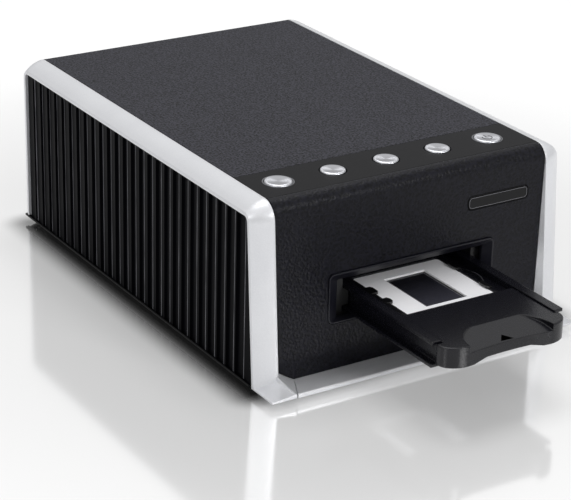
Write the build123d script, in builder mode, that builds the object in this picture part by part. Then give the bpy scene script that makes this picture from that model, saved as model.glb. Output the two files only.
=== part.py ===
from build123d import *
import os
from math import acos, atan2, ceil, cos, pi, radians, sin, tan

# A desktop scanner for mounted slides and film strips.  Millimetres, +Z up, the front faces -Y.
# The origin lies on the desk, in the middle of the footprint with the holder drawn out as photographed.

# ---------------------------------------------------------------------------- casing sizes
WIDTH = 175.6             # over the two side frames
BODY_DEPTH = 240.4        # front edge of the top to the rear face
BODY_HEIGHT = 88.7        # silver frames, bottom to top
FRAME_LIFT = 4.0          # desk to the bottom of the silver frames' outer edge
CHASSIS_LIFT = 2.2        # desk to the underside of the chassis
LEAN = 6.9                # how far the front bars come forward at the bottom
TOE_REACH = 18.8          # how far the toes and the lip stand ahead of the top's front edge
TOE_TAPER = 2.6           # the toe's inner edge runs outwards to the back by this much
CORNER_R = 9.0            # front and rear top corners, seen from the side
BEVEL_WIDTH = 10.7        # silver bevel, across
BEVEL_DROP = 4.8          # silver bevel, ridge to outer edge
BEVEL_BULGE = 0.7         # rise of the bevel's arc over its chord
RIM = 1.2                 # flat rim along the ridge
SKIN = 2.0                # moulded wall of the silver frames
FLANGE = 8.0              # inner flange of the silver frames
EDGE_WALL = 1.6           # thin outer edge that frames the side panel
RAIL = 1.0                # hairline rail under the side panel
CLEAR = 0.3               # gap between neighbouring casing parts
WALL = 2.4                # moulded black panels

# ---------------------------------------------------------------------------- top and front
STRIP_FRONT = 7.2         # front edge of the top to the button strip
STRIP_DEPTH = 29.0        # button strip, front to back
STRIP_SEAM = 0.25         # groove between the strip and the grained cover
PANEL_ROUND = 8.5         # rounding from the top into the front panel
PANEL_LEAN = 2.7          # front panel, top to bottom
PANEL_INSET = 3.0         # front panel narrows to the bottom by this much a side
PANEL_CUT_X = 8.0         # cut lower corners of the front panel, across
PANEL_CUT_Z = 4.9         # and up
LIP_TOP = 5.2             # upper front edge of the silver lip, above the desk
LIP_FACE = 2.0            # height of the lip's little front face
LEDGE_REAR = 3.4          # the ledge where it meets the front panel, above the desk

# ---------------------------------------------------------------------------- slot, plate, buttons
SLOT_X = 1.4              # middle of the slot: the holder's rack lane lies on the right
SLOT_HALF = 41.9          # half the slot's width
SLOT_LOW = 27.6
SLOT_HIGH = 46.9
BEZEL_HALF = 47.5
BEZEL_LOW = 26.6
BEZEL_HIGH = 52.0
BEZEL_R = 3.0
BEZEL_DEPTH = 5.0
PLATE_X = 49.35           # middle of the name plate
PLATE_Z = 71.35
PLATE_LENGTH = 36.1
PLATE_HEIGHT = 6.9
PLATE_R = 2.5
PLATE_T = 0.8
PLATE_SEAT = 0.6          # depth of its recess
BUTTON_LINE = 22.4        # front edge of the top to the buttons' axes
BUTTON_X = -1.5           # middle of the row
BUTTON_INSET = 28.0       # the end buttons' axes inside the side faces
BUTTON_R = 6.15           # three middle caps
END_BUTTON_R = 6.7        # the two end caps
BUTTON_BORE = 6.7         # radius of the three middle openings
END_BORE = 7.65           # radius of the two end openings
RING_T = 0.6              # bright ring round each end button
BUTTON_PROUD = 0.7
BUTTON_TRAVEL = 1.0
STRIP_T = 2.2
BOARD_DROP = 11.0         # strip's top to the button board's top

# ---------------------------------------------------------------------------- holder
GRIP_REACH = 74.3         # front edge of the top to the grip's front, drawn out as photographed
HOLDER_LEFT = -33.7
HOLDER_RIGHT = 40.0
HOLDER_LOW = 28.5
HOLDER_HIGH = 41.0
RAIL_END = 10.4           # the rails stop this far behind the grip's front
CHANNEL = 3.5             # depth of the rails' side channels
WEB = 1.5                 # wall of the rails
FLOOR_T = 2.4             # tray floor
SLIDE = 50.0              # standard slide mount, square
SLIDE_T = 2.0
SLIDE_DROP = 1.5          # rails' top to the slide's top
WINDOW_X = 23.2
WINDOW_Y = 34.2
POCKET_GAP = 0.15         # slide to pocket wall, each side
POCKET_WALL = 1.2
TRAY_DROP = 0.9           # rails' top to the tray's top
POCKET_PITCH = 51.5
POCKETS = 4
SLIDE_FRONT = 37.35       # grip's front to the first slide's front edge
GATE = 40.0               # square light gate in each pocket's floor
LIP_REACH = 3.7           # the grip's thin lip covers this much of the first slide
LIP_T = 0.6
GRIP_DROP = 0.7           # rails' top to the grip's top
GRIP_T = 9.8              # thickness of the grip at its two ends
GRIP_INSET_LEFT = 1.7     # grip inside the rails' outer edges
GRIP_INSET_RIGHT = 3.0
GRIP_CORNER = 8.0         # the grip's elliptical front corners, front to back
GRIP_SWEEP = 11.2         # and across
GRIP_DIP = 1.3            # the front edge draws back between the two bumps
SCOOP = 1.8               # hollow in the middle of the underside
SCOOP_HALF = 19.5
RECESS_X = 3.2            # middle of the finger recess
RECESS_HALF = 21.8
RECESS_REAR = 16.0        # grip's front to the recess's rear edge
RECESS_DEPTH = 3.3        # at the front; it runs out to nothing at the rear
CLIP_T = 0.9
SPRING_HALF = 9.5         # leaf spring beside each slide, half its length
SPRING_BULGE = 4.2
SPRING_T = 0.8
PULL_OUT = 100.0          # further pull from the photographed place
PUSH_IN = 60.0

# ---------------------------------------------------------------------------- drive
MODULE = 1.0              # rack and feed pinion
GEAR_MODULE = 0.8         # feed gear and motor pinion
PRESSURE = 25.0
PINION_TEETH = 14
GEAR_TEETH = 36
MOTOR_TEETH = 12
BACKLASH = 0.25
RACK_X = 31.5             # middle of the rack
RACK_W = 6.0
FEED_Y = 55.0             # front edge of the top to the feed shaft
SHAFT_R = 2.5
BORE_GAP = 0.05           # running clearance of the shafts, on the radius
MOTOR_R = 14.0
MOTOR_LENGTH = 18.0
MOTOR_SHAFT_R = 1.5
BRACKET_T = 1.5           # sheet of the motor's bracket
SCAN_Y = 45.0             # front edge of the top to the scanning station
LENS_REACH = 24.0         # scanning station to the lens
SENSOR_REACH = 58.0       # scanning station to the sensor board
SENSOR_W = 46.0
SENSOR_H = 19.4
GUIDE_TOP = 45.0
GUIDE_LEFT = -40.0        # outer faces of the guide beams
GUIDE_RIGHT = 45.2
DECK_TOP = 27.4
DECK_T = 2.0
DECK_MARGIN_LEFT = 4.0    # deck outside the guides
DECK_MARGIN_RIGHT = 0.8
RUN_GAP = 0.4             # holder to its guides
DECK_LIFT = 7.0           # gap from the front edge of the top to the deck

# ---------------------------------------------------------------------------- worked out
FOOTPRINT = BODY_DEPTH + GRIP_REACH
Y_REAR = FOOTPRINT / 2
Y_FRONT = Y_REAR - BODY_DEPTH
SIDE_X = WIDTH / 2
RIDGE_X = SIDE_X - BEVEL_WIDTH
TOP = FRAME_LIFT + BODY_HEIGHT
FRAME_BASE = FRAME_LIFT - 0.6
PANEL_X = RIDGE_X - CLEAR
GRIP_FRONT = Y_FRONT - GRIP_REACH
LEAN_SLOPE = LEAN / BODY_HEIGHT
BUTTON_Y = Y_FRONT + BUTTON_LINE
STRIP_Y0 = Y_FRONT + STRIP_FRONT
STRIP_Y1 = STRIP_Y0 + STRIP_DEPTH
button_pitch = (SIDE_X - BUTTON_INSET) / 2
button_xs = [BUTTON_X + button_pitch * i for i in (-2, -1, 0, 1, 2)]
feed_y = Y_FRONT + FEED_Y
scan_y = Y_FRONT + SCAN_Y
lens_y = scan_y + LENS_REACH
sensor_y = scan_y + SENSOR_REACH
round_y = Y_REAR - CORNER_R
cover_y0 = STRIP_Y1 + STRIP_SEAM


def ridge_y(z):
    """The silver front bars' ridge at height z: it leans forward towards the desk."""
    return Y_FRONT - LEAN_SLOPE * (TOP - z)


def panel_y(z):
    """The front panel's face at height z."""
    return Y_FRONT + 0.4 - PANEL_LEAN * (TOP - z) / BODY_HEIGHT


def face_plane(x, z, out=0.0):
    """A plane on the front panel's face, looking outwards, raised by out."""
    tilt = atan2(PANEL_LEAN, BODY_HEIGHT)
    plane = Plane(origin=(x, panel_y(z), z), x_dir=(1, 0, 0), z_dir=(0, -cos(tilt), sin(tilt)))
    return plane.offset(out)


# ============================================================================ silver side frames
PANEL_FOOT = LEDGE_REAR + CLEAR
REVEAL_FOOT = PANEL_FOOT + PANEL_CUT_Z
TOE_INNER_Z = FRAME_LIFT + 4.4
TOE_INNER_FRONT = RIDGE_X - TOE_TAPER
toe_front = Y_FRONT - TOE_REACH
toe_back = ridge_y(FRAME_BASE) + BEVEL_DROP + EDGE_WALL
crease_y = ridge_y(TOE_INNER_Z)
toe_slope_x = (RIDGE_X - TOE_INNER_FRONT) / (crease_y - toe_front)
toe_slope_z = (TOE_INNER_Z - LIP_TOP - CLEAR) / (crease_y - toe_front)


def toe_section(y):
    """Corners of the toe's section at y: a wedge that thins towards its outer edge."""
    inner_x = TOE_INNER_FRONT + toe_slope_x * (y - toe_front)
    inner_z = LIP_TOP + CLEAR + toe_slope_z * (y - toe_front)
    return [(inner_x, FRAME_BASE), (SIDE_X, FRAME_BASE), (SIDE_X, FRAME_LIFT), (inner_x, inner_z)]


panel_side_foot = PANEL_X - PANEL_INSET
gusset_low = (panel_side_foot - PANEL_CUT_X, panel_y(PANEL_FOOT), LEDGE_REAR)
gusset_high = (panel_side_foot + CLEAR, panel_y(REVEAL_FOOT), REVEAL_FOOT)
gusset_tip = (TOE_INNER_FRONT, toe_front, LIP_TOP)

with BuildPart() as right_frame:
    with BuildLine(Plane.YZ.offset(RIDGE_X)) as ridge_path:
        FilletPolyline(
            (ridge_y(-4), -4),
            (ridge_y(TOP), TOP),
            (Y_REAR, TOP),
            (Y_REAR, -4),
            radius=CORNER_R,
        )
    with BuildSketch(Plane(origin=ridge_path.line @ 0, x_dir=(1, 0, 0), z_dir=ridge_path.line % 0)):
        with BuildLine():
            Line((0, 0), (RIM, 0))
            bevel = Line((RIM, 0), (BEVEL_WIDTH, BEVEL_DROP), mode=Mode.PRIVATE)
            middle = bevel @ 0.5 + Vector(0.41, -0.91).normalized() * BEVEL_BULGE
            ThreePointArc((RIM, 0), middle, (BEVEL_WIDTH, BEVEL_DROP))
            Polyline(
                (BEVEL_WIDTH, BEVEL_DROP),
                (BEVEL_WIDTH, BEVEL_DROP + EDGE_WALL),
                (BEVEL_WIDTH - SKIN, BEVEL_DROP + EDGE_WALL),
                (SKIN, SKIN + 0.8),
                (SKIN, FLANGE),
                (0, FLANGE),
                (0, 0),
            )
        make_face()
    sweep(path=ridge_path.line)
    # flat underside, level with the rail
    split(bisect_by=Plane.XY.offset(FRAME_BASE), keep=Keep.TOP)
    # hairline rail that closes the frame under the side panel
    with BuildSketch(Plane.XY.offset(FRAME_BASE)):
        with Locations((SIDE_X - 1, (Y_FRONT + Y_REAR) / 2)):
            Rectangle(2, BODY_DEPTH - 4)
    extrude(amount=RAIL)
    # the toe carries the bevel forward along the desk
    for section_y in (toe_back, toe_front):
        with BuildSketch(Plane(origin=(0, section_y, 0), x_dir=(1, 0, 0), z_dir=(0, -1, 0))):
            with BuildLine():
                Polyline(*toe_section(section_y), close=True)
            make_face()
    loft(ruled=True)
    # drafted reveal from the ridge back to the front panel's edge
    for reveal_z, depth in ((FRAME_BASE, 1.0), (TOP - CORNER_R, 0.06)):
        with BuildSketch(Plane.XY.offset(reveal_z)):
            with BuildLine():
                Polyline(
                    (RIDGE_X + 0.5, ridge_y(reveal_z) + 0.4 * depth),
                    (RIDGE_X, ridge_y(reveal_z)),
                    (RIDGE_X - PANEL_INSET * depth, panel_y(reveal_z)),
                    (RIDGE_X, panel_y(reveal_z) + 3 * depth),
                    (RIDGE_X + 0.5, panel_y(reveal_z) + 2.5 * depth),
                    close=True,
                )
            make_face()
    loft(ruled=True)

with BuildPart() as gusset:
    # the little slanting facet in the lower corner, between toe, panel and ledge
    with BuildSketch(Plane.XY.offset(FRAME_BASE)):
        with BuildLine():
            Polyline(
                (gusset_low[0], gusset_low[1]),
                (RIDGE_X + 1, gusset_low[1]),
                (RIDGE_X + 1, crease_y),
                (gusset_tip[0] + 1, gusset_tip[1]),
                (gusset_tip[0], gusset_tip[1]),
                close=True,
            )
        make_face()
    extrude(amount=TOE_INNER_Z + 2)
    facet_across = Vector(*gusset_high) - Vector(*gusset_low)
    facet_along = Vector(*gusset_tip) - Vector(*gusset_low)
    split(
        bisect_by=Plane(origin=gusset_low, x_dir=facet_across, z_dir=facet_along.cross(facet_across)),
        keep=Keep.BOTTOM,
    )

with right_frame:
    add(gusset.part)

with BuildPart() as left_frame:
    mirror(right_frame.part, about=Plane.YZ)

# ============================================================================ front lip
lip_back = Y_FRONT + 6.0
with BuildPart() as front_lip:
    with BuildSketch(Plane.YZ):
        with BuildLine():
            Polyline(
                (toe_front, LIP_TOP - LIP_FACE),
                (toe_front, LIP_TOP - 0.4),
                (toe_front + 0.5, LIP_TOP),
                (gusset_low[1], LEDGE_REAR),
                (lip_back, LEDGE_REAR),
                (lip_back, CHASSIS_LIFT),
                (toe_front + 2.5, CHASSIS_LIFT),
                close=True,
            )
        make_face()
    extrude(amount=RIDGE_X, both=True)
    # its ends follow the gussets
    with BuildSketch(Plane.XY):
        with BuildLine():
            Polyline(
                (-gusset_tip[0] + 0.2, toe_front - 1),
                (gusset_tip[0] - 0.2, toe_front - 1),
                (gusset_low[0] - 0.2, gusset_low[1] + 0.2),
                (PANEL_X, gusset_low[1] + 0.2),
                (PANEL_X, lip_back + 1),
                (-PANEL_X, lip_back + 1),
                (-PANEL_X, gusset_low[1] + 0.2),
                (-gusset_low[0] + 0.2, gusset_low[1] + 0.2),
                close=True,
            )
        make_face()
    extrude(amount=TOP, mode=Mode.INTERSECT)

# ============================================================================ ribbed side panels
RIBS = 27
RIB_STEP = 1.1            # height of each step of the sawtooth
PANEL_SEAT = BEVEL_DROP + EDGE_WALL + 0.2
side_low = FRAME_BASE + RAIL + 0.2
side_y0 = ridge_y(side_low) + PANEL_SEAT
side_y1 = Y_REAR - PANEL_SEAT
rib_pitch = (side_y1 - (Y_FRONT + PANEL_SEAT)) / RIBS
side_face = SIDE_X - 0.3
side_back = side_face - RIB_STEP - 1.6

with BuildPart() as right_side_panel:
    with BuildSketch(Plane.XY.offset(side_low)):
        saw = [(side_back, side_y1), (side_back, side_y0 - 1), (side_face, side_y0 - 1)]
        for rib in range(RIBS):
            rib_y = Y_FRONT + PANEL_SEAT + rib * rib_pitch
            saw.append((side_face - RIB_STEP, rib_y + rib_pitch - 0.35))
            saw.append((side_face, rib_y + rib_pitch))
        saw[-1] = (side_face - RIB_STEP, side_y1)
        with BuildLine():
            Polyline(*saw, close=True)
        make_face()
    extrude(amount=TOP - PANEL_SEAT - side_low)
    # outline that nests inside the silver frame
    with BuildSketch(Plane.YZ.offset(side_back - 1)):
        with BuildLine():
            Polyline(
                (side_y0, side_low),
                (ridge_y(TOP - PANEL_SEAT) + PANEL_SEAT, TOP - PANEL_SEAT),
                (side_y1, TOP - PANEL_SEAT),
                (side_y1, side_low),
                close=True,
            )
        outline = make_face()
        fillet(outline.vertices().group_by(Axis.Y)[-1], radius=CORNER_R - PANEL_SEAT)
    extrude(amount=8, mode=Mode.INTERSECT)

with BuildPart() as left_side_panel:
    mirror(right_side_panel.part, about=Plane.YZ)

# ============================================================================ chassis
CHASSIS_T = 2.4
FLOOR_TOP = CHASSIS_LIFT + CHASSIS_T
chassis_y0 = lip_back + CLEAR
chassis_y1 = Y_REAR - WALL - CLEAR
chassis_x = side_back - CLEAR
FOOT_R = 7.0
FOOT_INSET_X = 14.0
FOOT_INSET_Y = 20.0
POST = 7.0                # cross-shaped posts, over their fins
FIN = 1.8
deck_y0 = Y_FRONT + DECK_LIFT
deck_y1 = Y_REAR - WALL - 2
deck_posts = [(-39.0, deck_y0 + 10), (40.5, deck_y0 + 10), (-14.0, deck_y1 - 8), (40.5, deck_y1 - 8)]
BOARD_INSET = 46.8        # side face to the middle of the main board
BOARD_W = 42.0
BOARD_D = 84.0
BOARD_Z = 9.0
board_x = -SIDE_X + BOARD_INSET
board_y = Y_REAR - 4 - BOARD_D / 2
board_posts = [
    (board_x + i * (BOARD_W / 2 - 4), board_y + j * (BOARD_D / 2 - 10)) for i in (-1, 1) for j in (-1, 1)
]
COVER_INSET = 17.8        # side face to the cover's posts
COVER_RIBS = 3
rib_step = (round_y - cover_y0) / (COVER_RIBS + 1)
cover_posts = [
    (x, cover_y0 + step * rib_step) for x in (COVER_INSET - SIDE_X, SIDE_X - COVER_INSET) for step in (1.5, 3.5)
]
COVER_T = 2.5
HEAD_R = 2.8              # screw heads
HEAD_T = 1.3
RIB_BEHIND = 8.0          # sensor board to the floor's rear rib
foot_spots = [
    (x, y)
    for x in (-SIDE_X + FOOT_INSET_X, SIDE_X - FOOT_INSET_X)
    for y in (Y_FRONT + FOOT_INSET_Y, Y_REAR - FOOT_INSET_Y)
]

with BuildPart() as base_chassis:
    with BuildSketch(Plane.XY.offset(CHASSIS_LIFT)):
        with Locations((0, (chassis_y0 + chassis_y1) / 2)):
            Rectangle(2 * chassis_x, chassis_y1 - chassis_y0)
    extrude(amount=CHASSIS_T)
    # side walls stand just inside the ribbed panels
    wall_top = TOP - FLANGE - CLEAR
    with BuildSketch(Plane.XY.offset(FLOOR_TOP)):
        for side in (-1, 1):
            with Locations((side * (chassis_x - 1), (Y_FRONT + Y_REAR) / 2)):
                Rectangle(2, BODY_DEPTH - 2 * FLANGE - 2)
    extrude(amount=wall_top - FLOOR_TOP)
    # cross-shaped posts for the deck, the board and the cover
    for spots, post_top in ((deck_posts, DECK_TOP - DECK_T), (board_posts, BOARD_Z), (cover_posts, TOP - COVER_T)):
        with BuildSketch(Plane.XY.offset(FLOOR_TOP)):
            with Locations(*spots):
                Rectangle(POST, FIN)
                Rectangle(FIN, POST)
        extrude(amount=post_top - FLOOR_TOP)
    # cross ribs stiffen the floor
    with BuildSketch(Plane.XY.offset(FLOOR_TOP)):
        for rib_y in (chassis_y0 + 18, sensor_y + RIB_BEHIND):
            with Locations((0, rib_y)):
                Rectangle(2 * chassis_x - 6, 2)
    extrude(amount=2.5)
    # the rear corners make room for the silver frames
    with BuildSketch(Plane.XY.offset(CHASSIS_LIFT)):
        for side in (-1, 1):
            with Locations((side * (PANEL_X + 10), Y_REAR)):
                Rectangle(20, 2 * (FLANGE + CLEAR))
    extrude(amount=CHASSIS_T, mode=Mode.SUBTRACT)
    # vents in the floor
    with BuildSketch(Plane.XY.offset(CHASSIS_LIFT - 1)):
        with Locations((30, Y_REAR - 47)):
            with GridLocations(7, 1, 5, 1):
                Rectangle(3, 30)
    extrude(amount=CHASSIS_T + 2, mode=Mode.SUBTRACT)

with BuildPart() as rubber_feet:
    with BuildSketch(Plane.XY):
        with Locations(*foot_spots):
            Circle(FOOT_R)
    extrude(amount=CHASSIS_LIFT)

# ============================================================================ top cover and strip
cover_x = PANEL_X

with BuildPart() as top_cover:
    with BuildSketch(Plane.YZ):
        with BuildLine():
            Line((cover_y0, TOP), (round_y, TOP))
            RadiusArc((round_y, TOP), (Y_REAR, TOP - CORNER_R), CORNER_R)
            Line((Y_REAR, TOP - CORNER_R), (Y_REAR - COVER_T, TOP - CORNER_R))
            RadiusArc((Y_REAR - COVER_T, TOP - CORNER_R), (round_y, TOP - COVER_T), -(CORNER_R - COVER_T))
            Polyline(
                (round_y, TOP - COVER_T),
                (cover_y0 + 2, TOP - COVER_T),
                (cover_y0 + 2, TOP - COVER_T - 6),
                (cover_y0, TOP - COVER_T - 6),
                (cover_y0, TOP),
            )
        make_face()
    extrude(amount=cover_x, both=True)
    # side skirts and stiffening ribs underneath
    with BuildSketch(Plane.XY.offset(TOP - COVER_T)):
        for side in (-1, 1):
            with Locations((side * (cover_x - 1), (cover_y0 + round_y) / 2)):
                Rectangle(2, round_y - cover_y0)
        for rib in range(COVER_RIBS):
            with Locations((0, cover_y0 + (rib + 1) * rib_step)):
                Rectangle(2 * cover_x - 4, 1.6)
    extrude(amount=-5)
    chamfer(top_cover.edges().filter_by(Axis.Y).group_by(Axis.Z)[-1], length=0.3)

with BuildPart() as button_strip:
    with BuildSketch(Plane.XY.offset(TOP)):
        with Locations((0, (STRIP_Y0 + STRIP_Y1) / 2)):
            Rectangle(2 * cover_x, STRIP_DEPTH)
    extrude(amount=-STRIP_T)
    # posts that carry the button board, and a tongue under the front panel's edge
    with BuildSketch(Plane.XY.offset(TOP - STRIP_T)):
        with Locations((BUTTON_X, BUTTON_Y - 1)):
            with GridLocations(5 * button_pitch - 14, 14, 2, 2):
                Rectangle(4, 4)
    extrude(amount=-(BOARD_DROP - STRIP_T))
    with BuildSketch(Plane.XY.offset(TOP - STRIP_T)):
        with Locations((0, STRIP_Y1 - 1)):
            Rectangle(2 * cover_x - 30, 2)
    extrude(amount=-4)
    with BuildSketch(Plane.XY.offset(TOP)):
        with Locations(*[(x, BUTTON_Y) for x in button_xs[1:-1]]):
            Circle(BUTTON_BORE)
        with Locations(*[(x, BUTTON_Y) for x in (button_xs[0], button_xs[-1])]):
            Circle(END_BORE)
    extrude(amount=-STRIP_T, mode=Mode.SUBTRACT)

with BuildPart() as button_rings:
    for ring_x in (button_xs[0], button_xs[-1]):
        with BuildSketch(Plane(origin=(ring_x, BUTTON_Y, TOP - STRIP_T))):
            Circle(END_BORE - 0.1)
            Circle(END_BORE - 0.1 - RING_T, mode=Mode.SUBTRACT)
        extrude(amount=STRIP_T + 0.1)

# ============================================================================ buttons
SWITCH_H = 3.5
PLUNGER_H = 1.4
BOARD_T = 1.6
board_top = TOP - BOARD_DROP
stem_foot = board_top + SWITCH_H + PLUNGER_H + BUTTON_TRAVEL + 0.2
SPUN_DISH = 0.35          # shallow dish spun into each cap
RIM_BEVEL = 0.8
STEM = 3.2


def button_cap(x, radius):
    """A turned cap with a dished face and a bevelled rim, on its square stem."""
    with BuildPart() as cap:
        with BuildSketch(Plane(origin=(x, BUTTON_Y, 0), x_dir=(1, 0, 0), z_dir=(0, -1, 0))):
            with BuildLine():
                Polyline(
                    (0, TOP - STRIP_T),
                    (0, TOP + BUTTON_PROUD - SPUN_DISH),
                    (radius - RIM_BEVEL, TOP + BUTTON_PROUD),
                    (radius, TOP + BUTTON_PROUD - RIM_BEVEL),
                    (radius, TOP - STRIP_T),
                    close=True,
                )
            make_face()
        revolve(axis=Axis((x, BUTTON_Y, 0), (0, 0, 1)))
        with BuildSketch(Plane.XY.offset(TOP - STRIP_T)):
            with Locations((x, BUTTON_Y)):
                Rectangle(STEM, STEM)
        extrude(amount=stem_foot - TOP + STRIP_T)
    return cap


button_1 = button_cap(button_xs[0], END_BUTTON_R)
button_2 = button_cap(button_xs[1], BUTTON_R)
button_3 = button_cap(button_xs[2], BUTTON_R)
button_4 = button_cap(button_xs[3], BUTTON_R)
button_5 = button_cap(button_xs[4], END_BUTTON_R)

with BuildPart() as button_board:
    with BuildSketch(Plane.XY.offset(board_top)):
        with Locations((BUTTON_X, BUTTON_Y - 1)):
            Rectangle(5 * button_pitch - 6, 20)
    extrude(amount=-BOARD_T)

with BuildPart() as tact_switches:
    with BuildSketch(Plane.XY.offset(board_top)):
        with Locations(*[(x, BUTTON_Y) for x in button_xs]):
            Rectangle(6, 6)
    extrude(amount=SWITCH_H)
    with BuildSketch(Plane.XY.offset(board_top + SWITCH_H)):
        with Locations(*[(x, BUTTON_Y) for x in button_xs]):
            Rectangle(STEM, STEM)
    extrude(amount=PLUNGER_H)

# ============================================================================ front panel
panel_foot_y = panel_y(PANEL_FOOT)
round_low = TOP - PANEL_ROUND

with BuildPart() as front_panel:
    with BuildSketch(Plane.YZ):
        with BuildLine():
            shell = FilletPolyline(
                (STRIP_Y0 - STRIP_SEAM, TOP),
                (panel_y(TOP), TOP),
                (panel_foot_y, PANEL_FOOT),
                radius=STRIP_FRONT - STRIP_SEAM - 0.5,
            )
            Polyline(
                (panel_foot_y, PANEL_FOOT),
                (panel_foot_y + WALL, PANEL_FOOT),
                (panel_y(round_low) + WALL, round_low),
            )
            RadiusArc(
                (panel_y(round_low) + WALL, round_low),
                (STRIP_Y0 - STRIP_SEAM, TOP - WALL),
                CORNER_R - WALL,
            )
            Line((STRIP_Y0 - STRIP_SEAM, TOP - WALL), (STRIP_Y0 - STRIP_SEAM, TOP))
        make_face()
    extrude(amount=PANEL_X, both=True)
    # the front view narrows to the foot and has cut lower corners
    with BuildSketch(Plane(origin=(0, Y_FRONT - 20, 0), x_dir=(1, 0, 0), z_dir=(0, -1, 0))):
        with BuildLine():
            Polyline(
                (-PANEL_X, TOP + 1),
                (-PANEL_X, TOP - CORNER_R),
                (-panel_side_foot, REVEAL_FOOT),
                (-panel_side_foot + PANEL_CUT_X, PANEL_FOOT),
                (panel_side_foot - PANEL_CUT_X, PANEL_FOOT),
                (panel_side_foot, REVEAL_FOOT),
                (PANEL_X, TOP - CORNER_R),
                (PANEL_X, TOP + 1),
                close=True,
            )
        make_face()
    extrude(amount=-60, mode=Mode.INTERSECT)
    # opening for the slot bezel
    with BuildSketch(Plane(origin=(0, Y_FRONT - 20, 0), x_dir=(1, 0, 0), z_dir=(0, -1, 0))):
        with Locations((0, (BEZEL_LOW + BEZEL_HIGH) / 2)):
            RectangleRounded(2 * BEZEL_HALF, BEZEL_HIGH - BEZEL_LOW, BEZEL_R)
    extrude(amount=-60, mode=Mode.SUBTRACT)
    # seat for the name plate
    with BuildSketch(face_plane(PLATE_X, PLATE_Z)):
        RectangleRounded(PLATE_LENGTH + 0.3, PLATE_HEIGHT + 0.3, PLATE_R)
    extrude(amount=-PLATE_SEAT, mode=Mode.SUBTRACT)

with BuildPart() as name_plate:
    with BuildSketch(face_plane(PLATE_X, PLATE_Z, -PLATE_SEAT)):
        RectangleRounded(PLATE_LENGTH, PLATE_HEIGHT, PLATE_R)
    extrude(amount=PLATE_T)
    chamfer(name_plate.faces().sort_by(Axis.Y)[0].edges(), length=0.25)

# ============================================================================ slot bezel
bezel_front = panel_y((BEZEL_LOW + BEZEL_HIGH) / 2) - 0.5
bezel_mid = (BEZEL_LOW + BEZEL_HIGH) / 2
slot_mid = (SLOT_LOW + SLOT_HIGH) / 2
slot_h = SLOT_HIGH - SLOT_LOW


def facing(y):
    """An upright plane at y that looks forward."""
    return Plane(origin=(0, y, 0), x_dir=(1, 0, 0), z_dir=(0, -1, 0))


with BuildPart() as slot_bezel:
    with BuildSketch(facing(bezel_front)):
        with Locations((0, bezel_mid)):
            RectangleRounded(2 * BEZEL_HALF - 0.4, BEZEL_HIGH - BEZEL_LOW - 0.4, BEZEL_R)
    extrude(amount=-BEZEL_DEPTH - 0.6)
    # flange behind the panel
    with BuildSketch(facing(bezel_front + WALL + 1.1)):
        with Locations((0, bezel_mid)):
            Rectangle(2 * BEZEL_HALF + 5, BEZEL_HIGH - BEZEL_LOW + 5)
    extrude(amount=-1.6)
    # funnel from the rim in to the slot
    with BuildSketch(facing(bezel_front)):
        with Locations((0, bezel_mid)):
            RectangleRounded(2 * BEZEL_HALF - 1.6, BEZEL_HIGH - BEZEL_LOW - 1.6, BEZEL_R - 0.6)
    with BuildSketch(facing(bezel_front + BEZEL_DEPTH - 1)):
        with Locations((SLOT_X, slot_mid)):
            RectangleRounded(2 * SLOT_HALF, slot_h, 0.8)
    loft(ruled=True, mode=Mode.SUBTRACT)
    with BuildSketch(facing(bezel_front)):
        with Locations((SLOT_X, slot_mid)):
            Rectangle(2 * SLOT_HALF, slot_h)
    extrude(amount=-BEZEL_DEPTH - 3, mode=Mode.SUBTRACT)

# ============================================================================ rear panel
USB_INSET = 37.8          # side face to the data socket
JACK_INSET = 55.8         # side face to the power inlet
USB_X = -SIDE_X + USB_INSET
JACK_X = -SIDE_X + JACK_INSET
PORT_Z = BOARD_Z + BOARD_T
USB_W = 12.0
USB_H = 11.0
JACK_W = 9.0
JACK_H = 11.0
PORT_GAP = 0.4
VENTS = 9

with BuildPart() as rear_panel:
    with BuildSketch(facing(Y_REAR)):
        with BuildLine():
            Polyline(
                (-PANEL_X, CHASSIS_LIFT),
                (PANEL_X, CHASSIS_LIFT),
                (PANEL_X, TOP - CORNER_R - CLEAR),
                (-PANEL_X, TOP - CORNER_R - CLEAR),
                close=True,
            )
        make_face()
        with Locations((USB_X, PORT_Z + USB_H / 2)):
            Rectangle(USB_W + 2 * PORT_GAP, USB_H + 2 * PORT_GAP, mode=Mode.SUBTRACT)
        with Locations((JACK_X, PORT_Z + JACK_H / 2)):
            Rectangle(JACK_W + 2 * PORT_GAP, JACK_H + 2 * PORT_GAP, mode=Mode.SUBTRACT)
        with Locations((30, 62)):
            with GridLocations(8, 1, VENTS, 1):
                Rectangle(3, 24, mode=Mode.SUBTRACT)
    extrude(amount=WALL)

with BuildPart() as usb_socket:
    with BuildSketch(facing(Y_REAR - 16)):
        with Locations((USB_X, PORT_Z + USB_H / 2)):
            Rectangle(USB_W, USB_H)
    extrude(amount=-(16 - 0.2))
    with BuildSketch(facing(Y_REAR - 0.2)):
        with Locations((USB_X, PORT_Z + USB_H / 2)):
            Rectangle(8.6, 7.9)
            Rectangle(5.6, 3.2, mode=Mode.SUBTRACT)
    extrude(amount=9, mode=Mode.SUBTRACT)

with BuildPart() as power_inlet:
    with BuildSketch(facing(Y_REAR - 14)):
        with Locations((JACK_X, PORT_Z + JACK_H / 2)):
            Rectangle(JACK_W, JACK_H)
    extrude(amount=-(14 - 0.2))
    with BuildSketch(facing(Y_REAR - 0.2)):
        with Locations((JACK_X, PORT_Z + JACK_H / 2)):
            Circle(3.0)
            Circle(1.0, mode=Mode.SUBTRACT)
    extrude(amount=9.5, mode=Mode.SUBTRACT)

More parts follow.
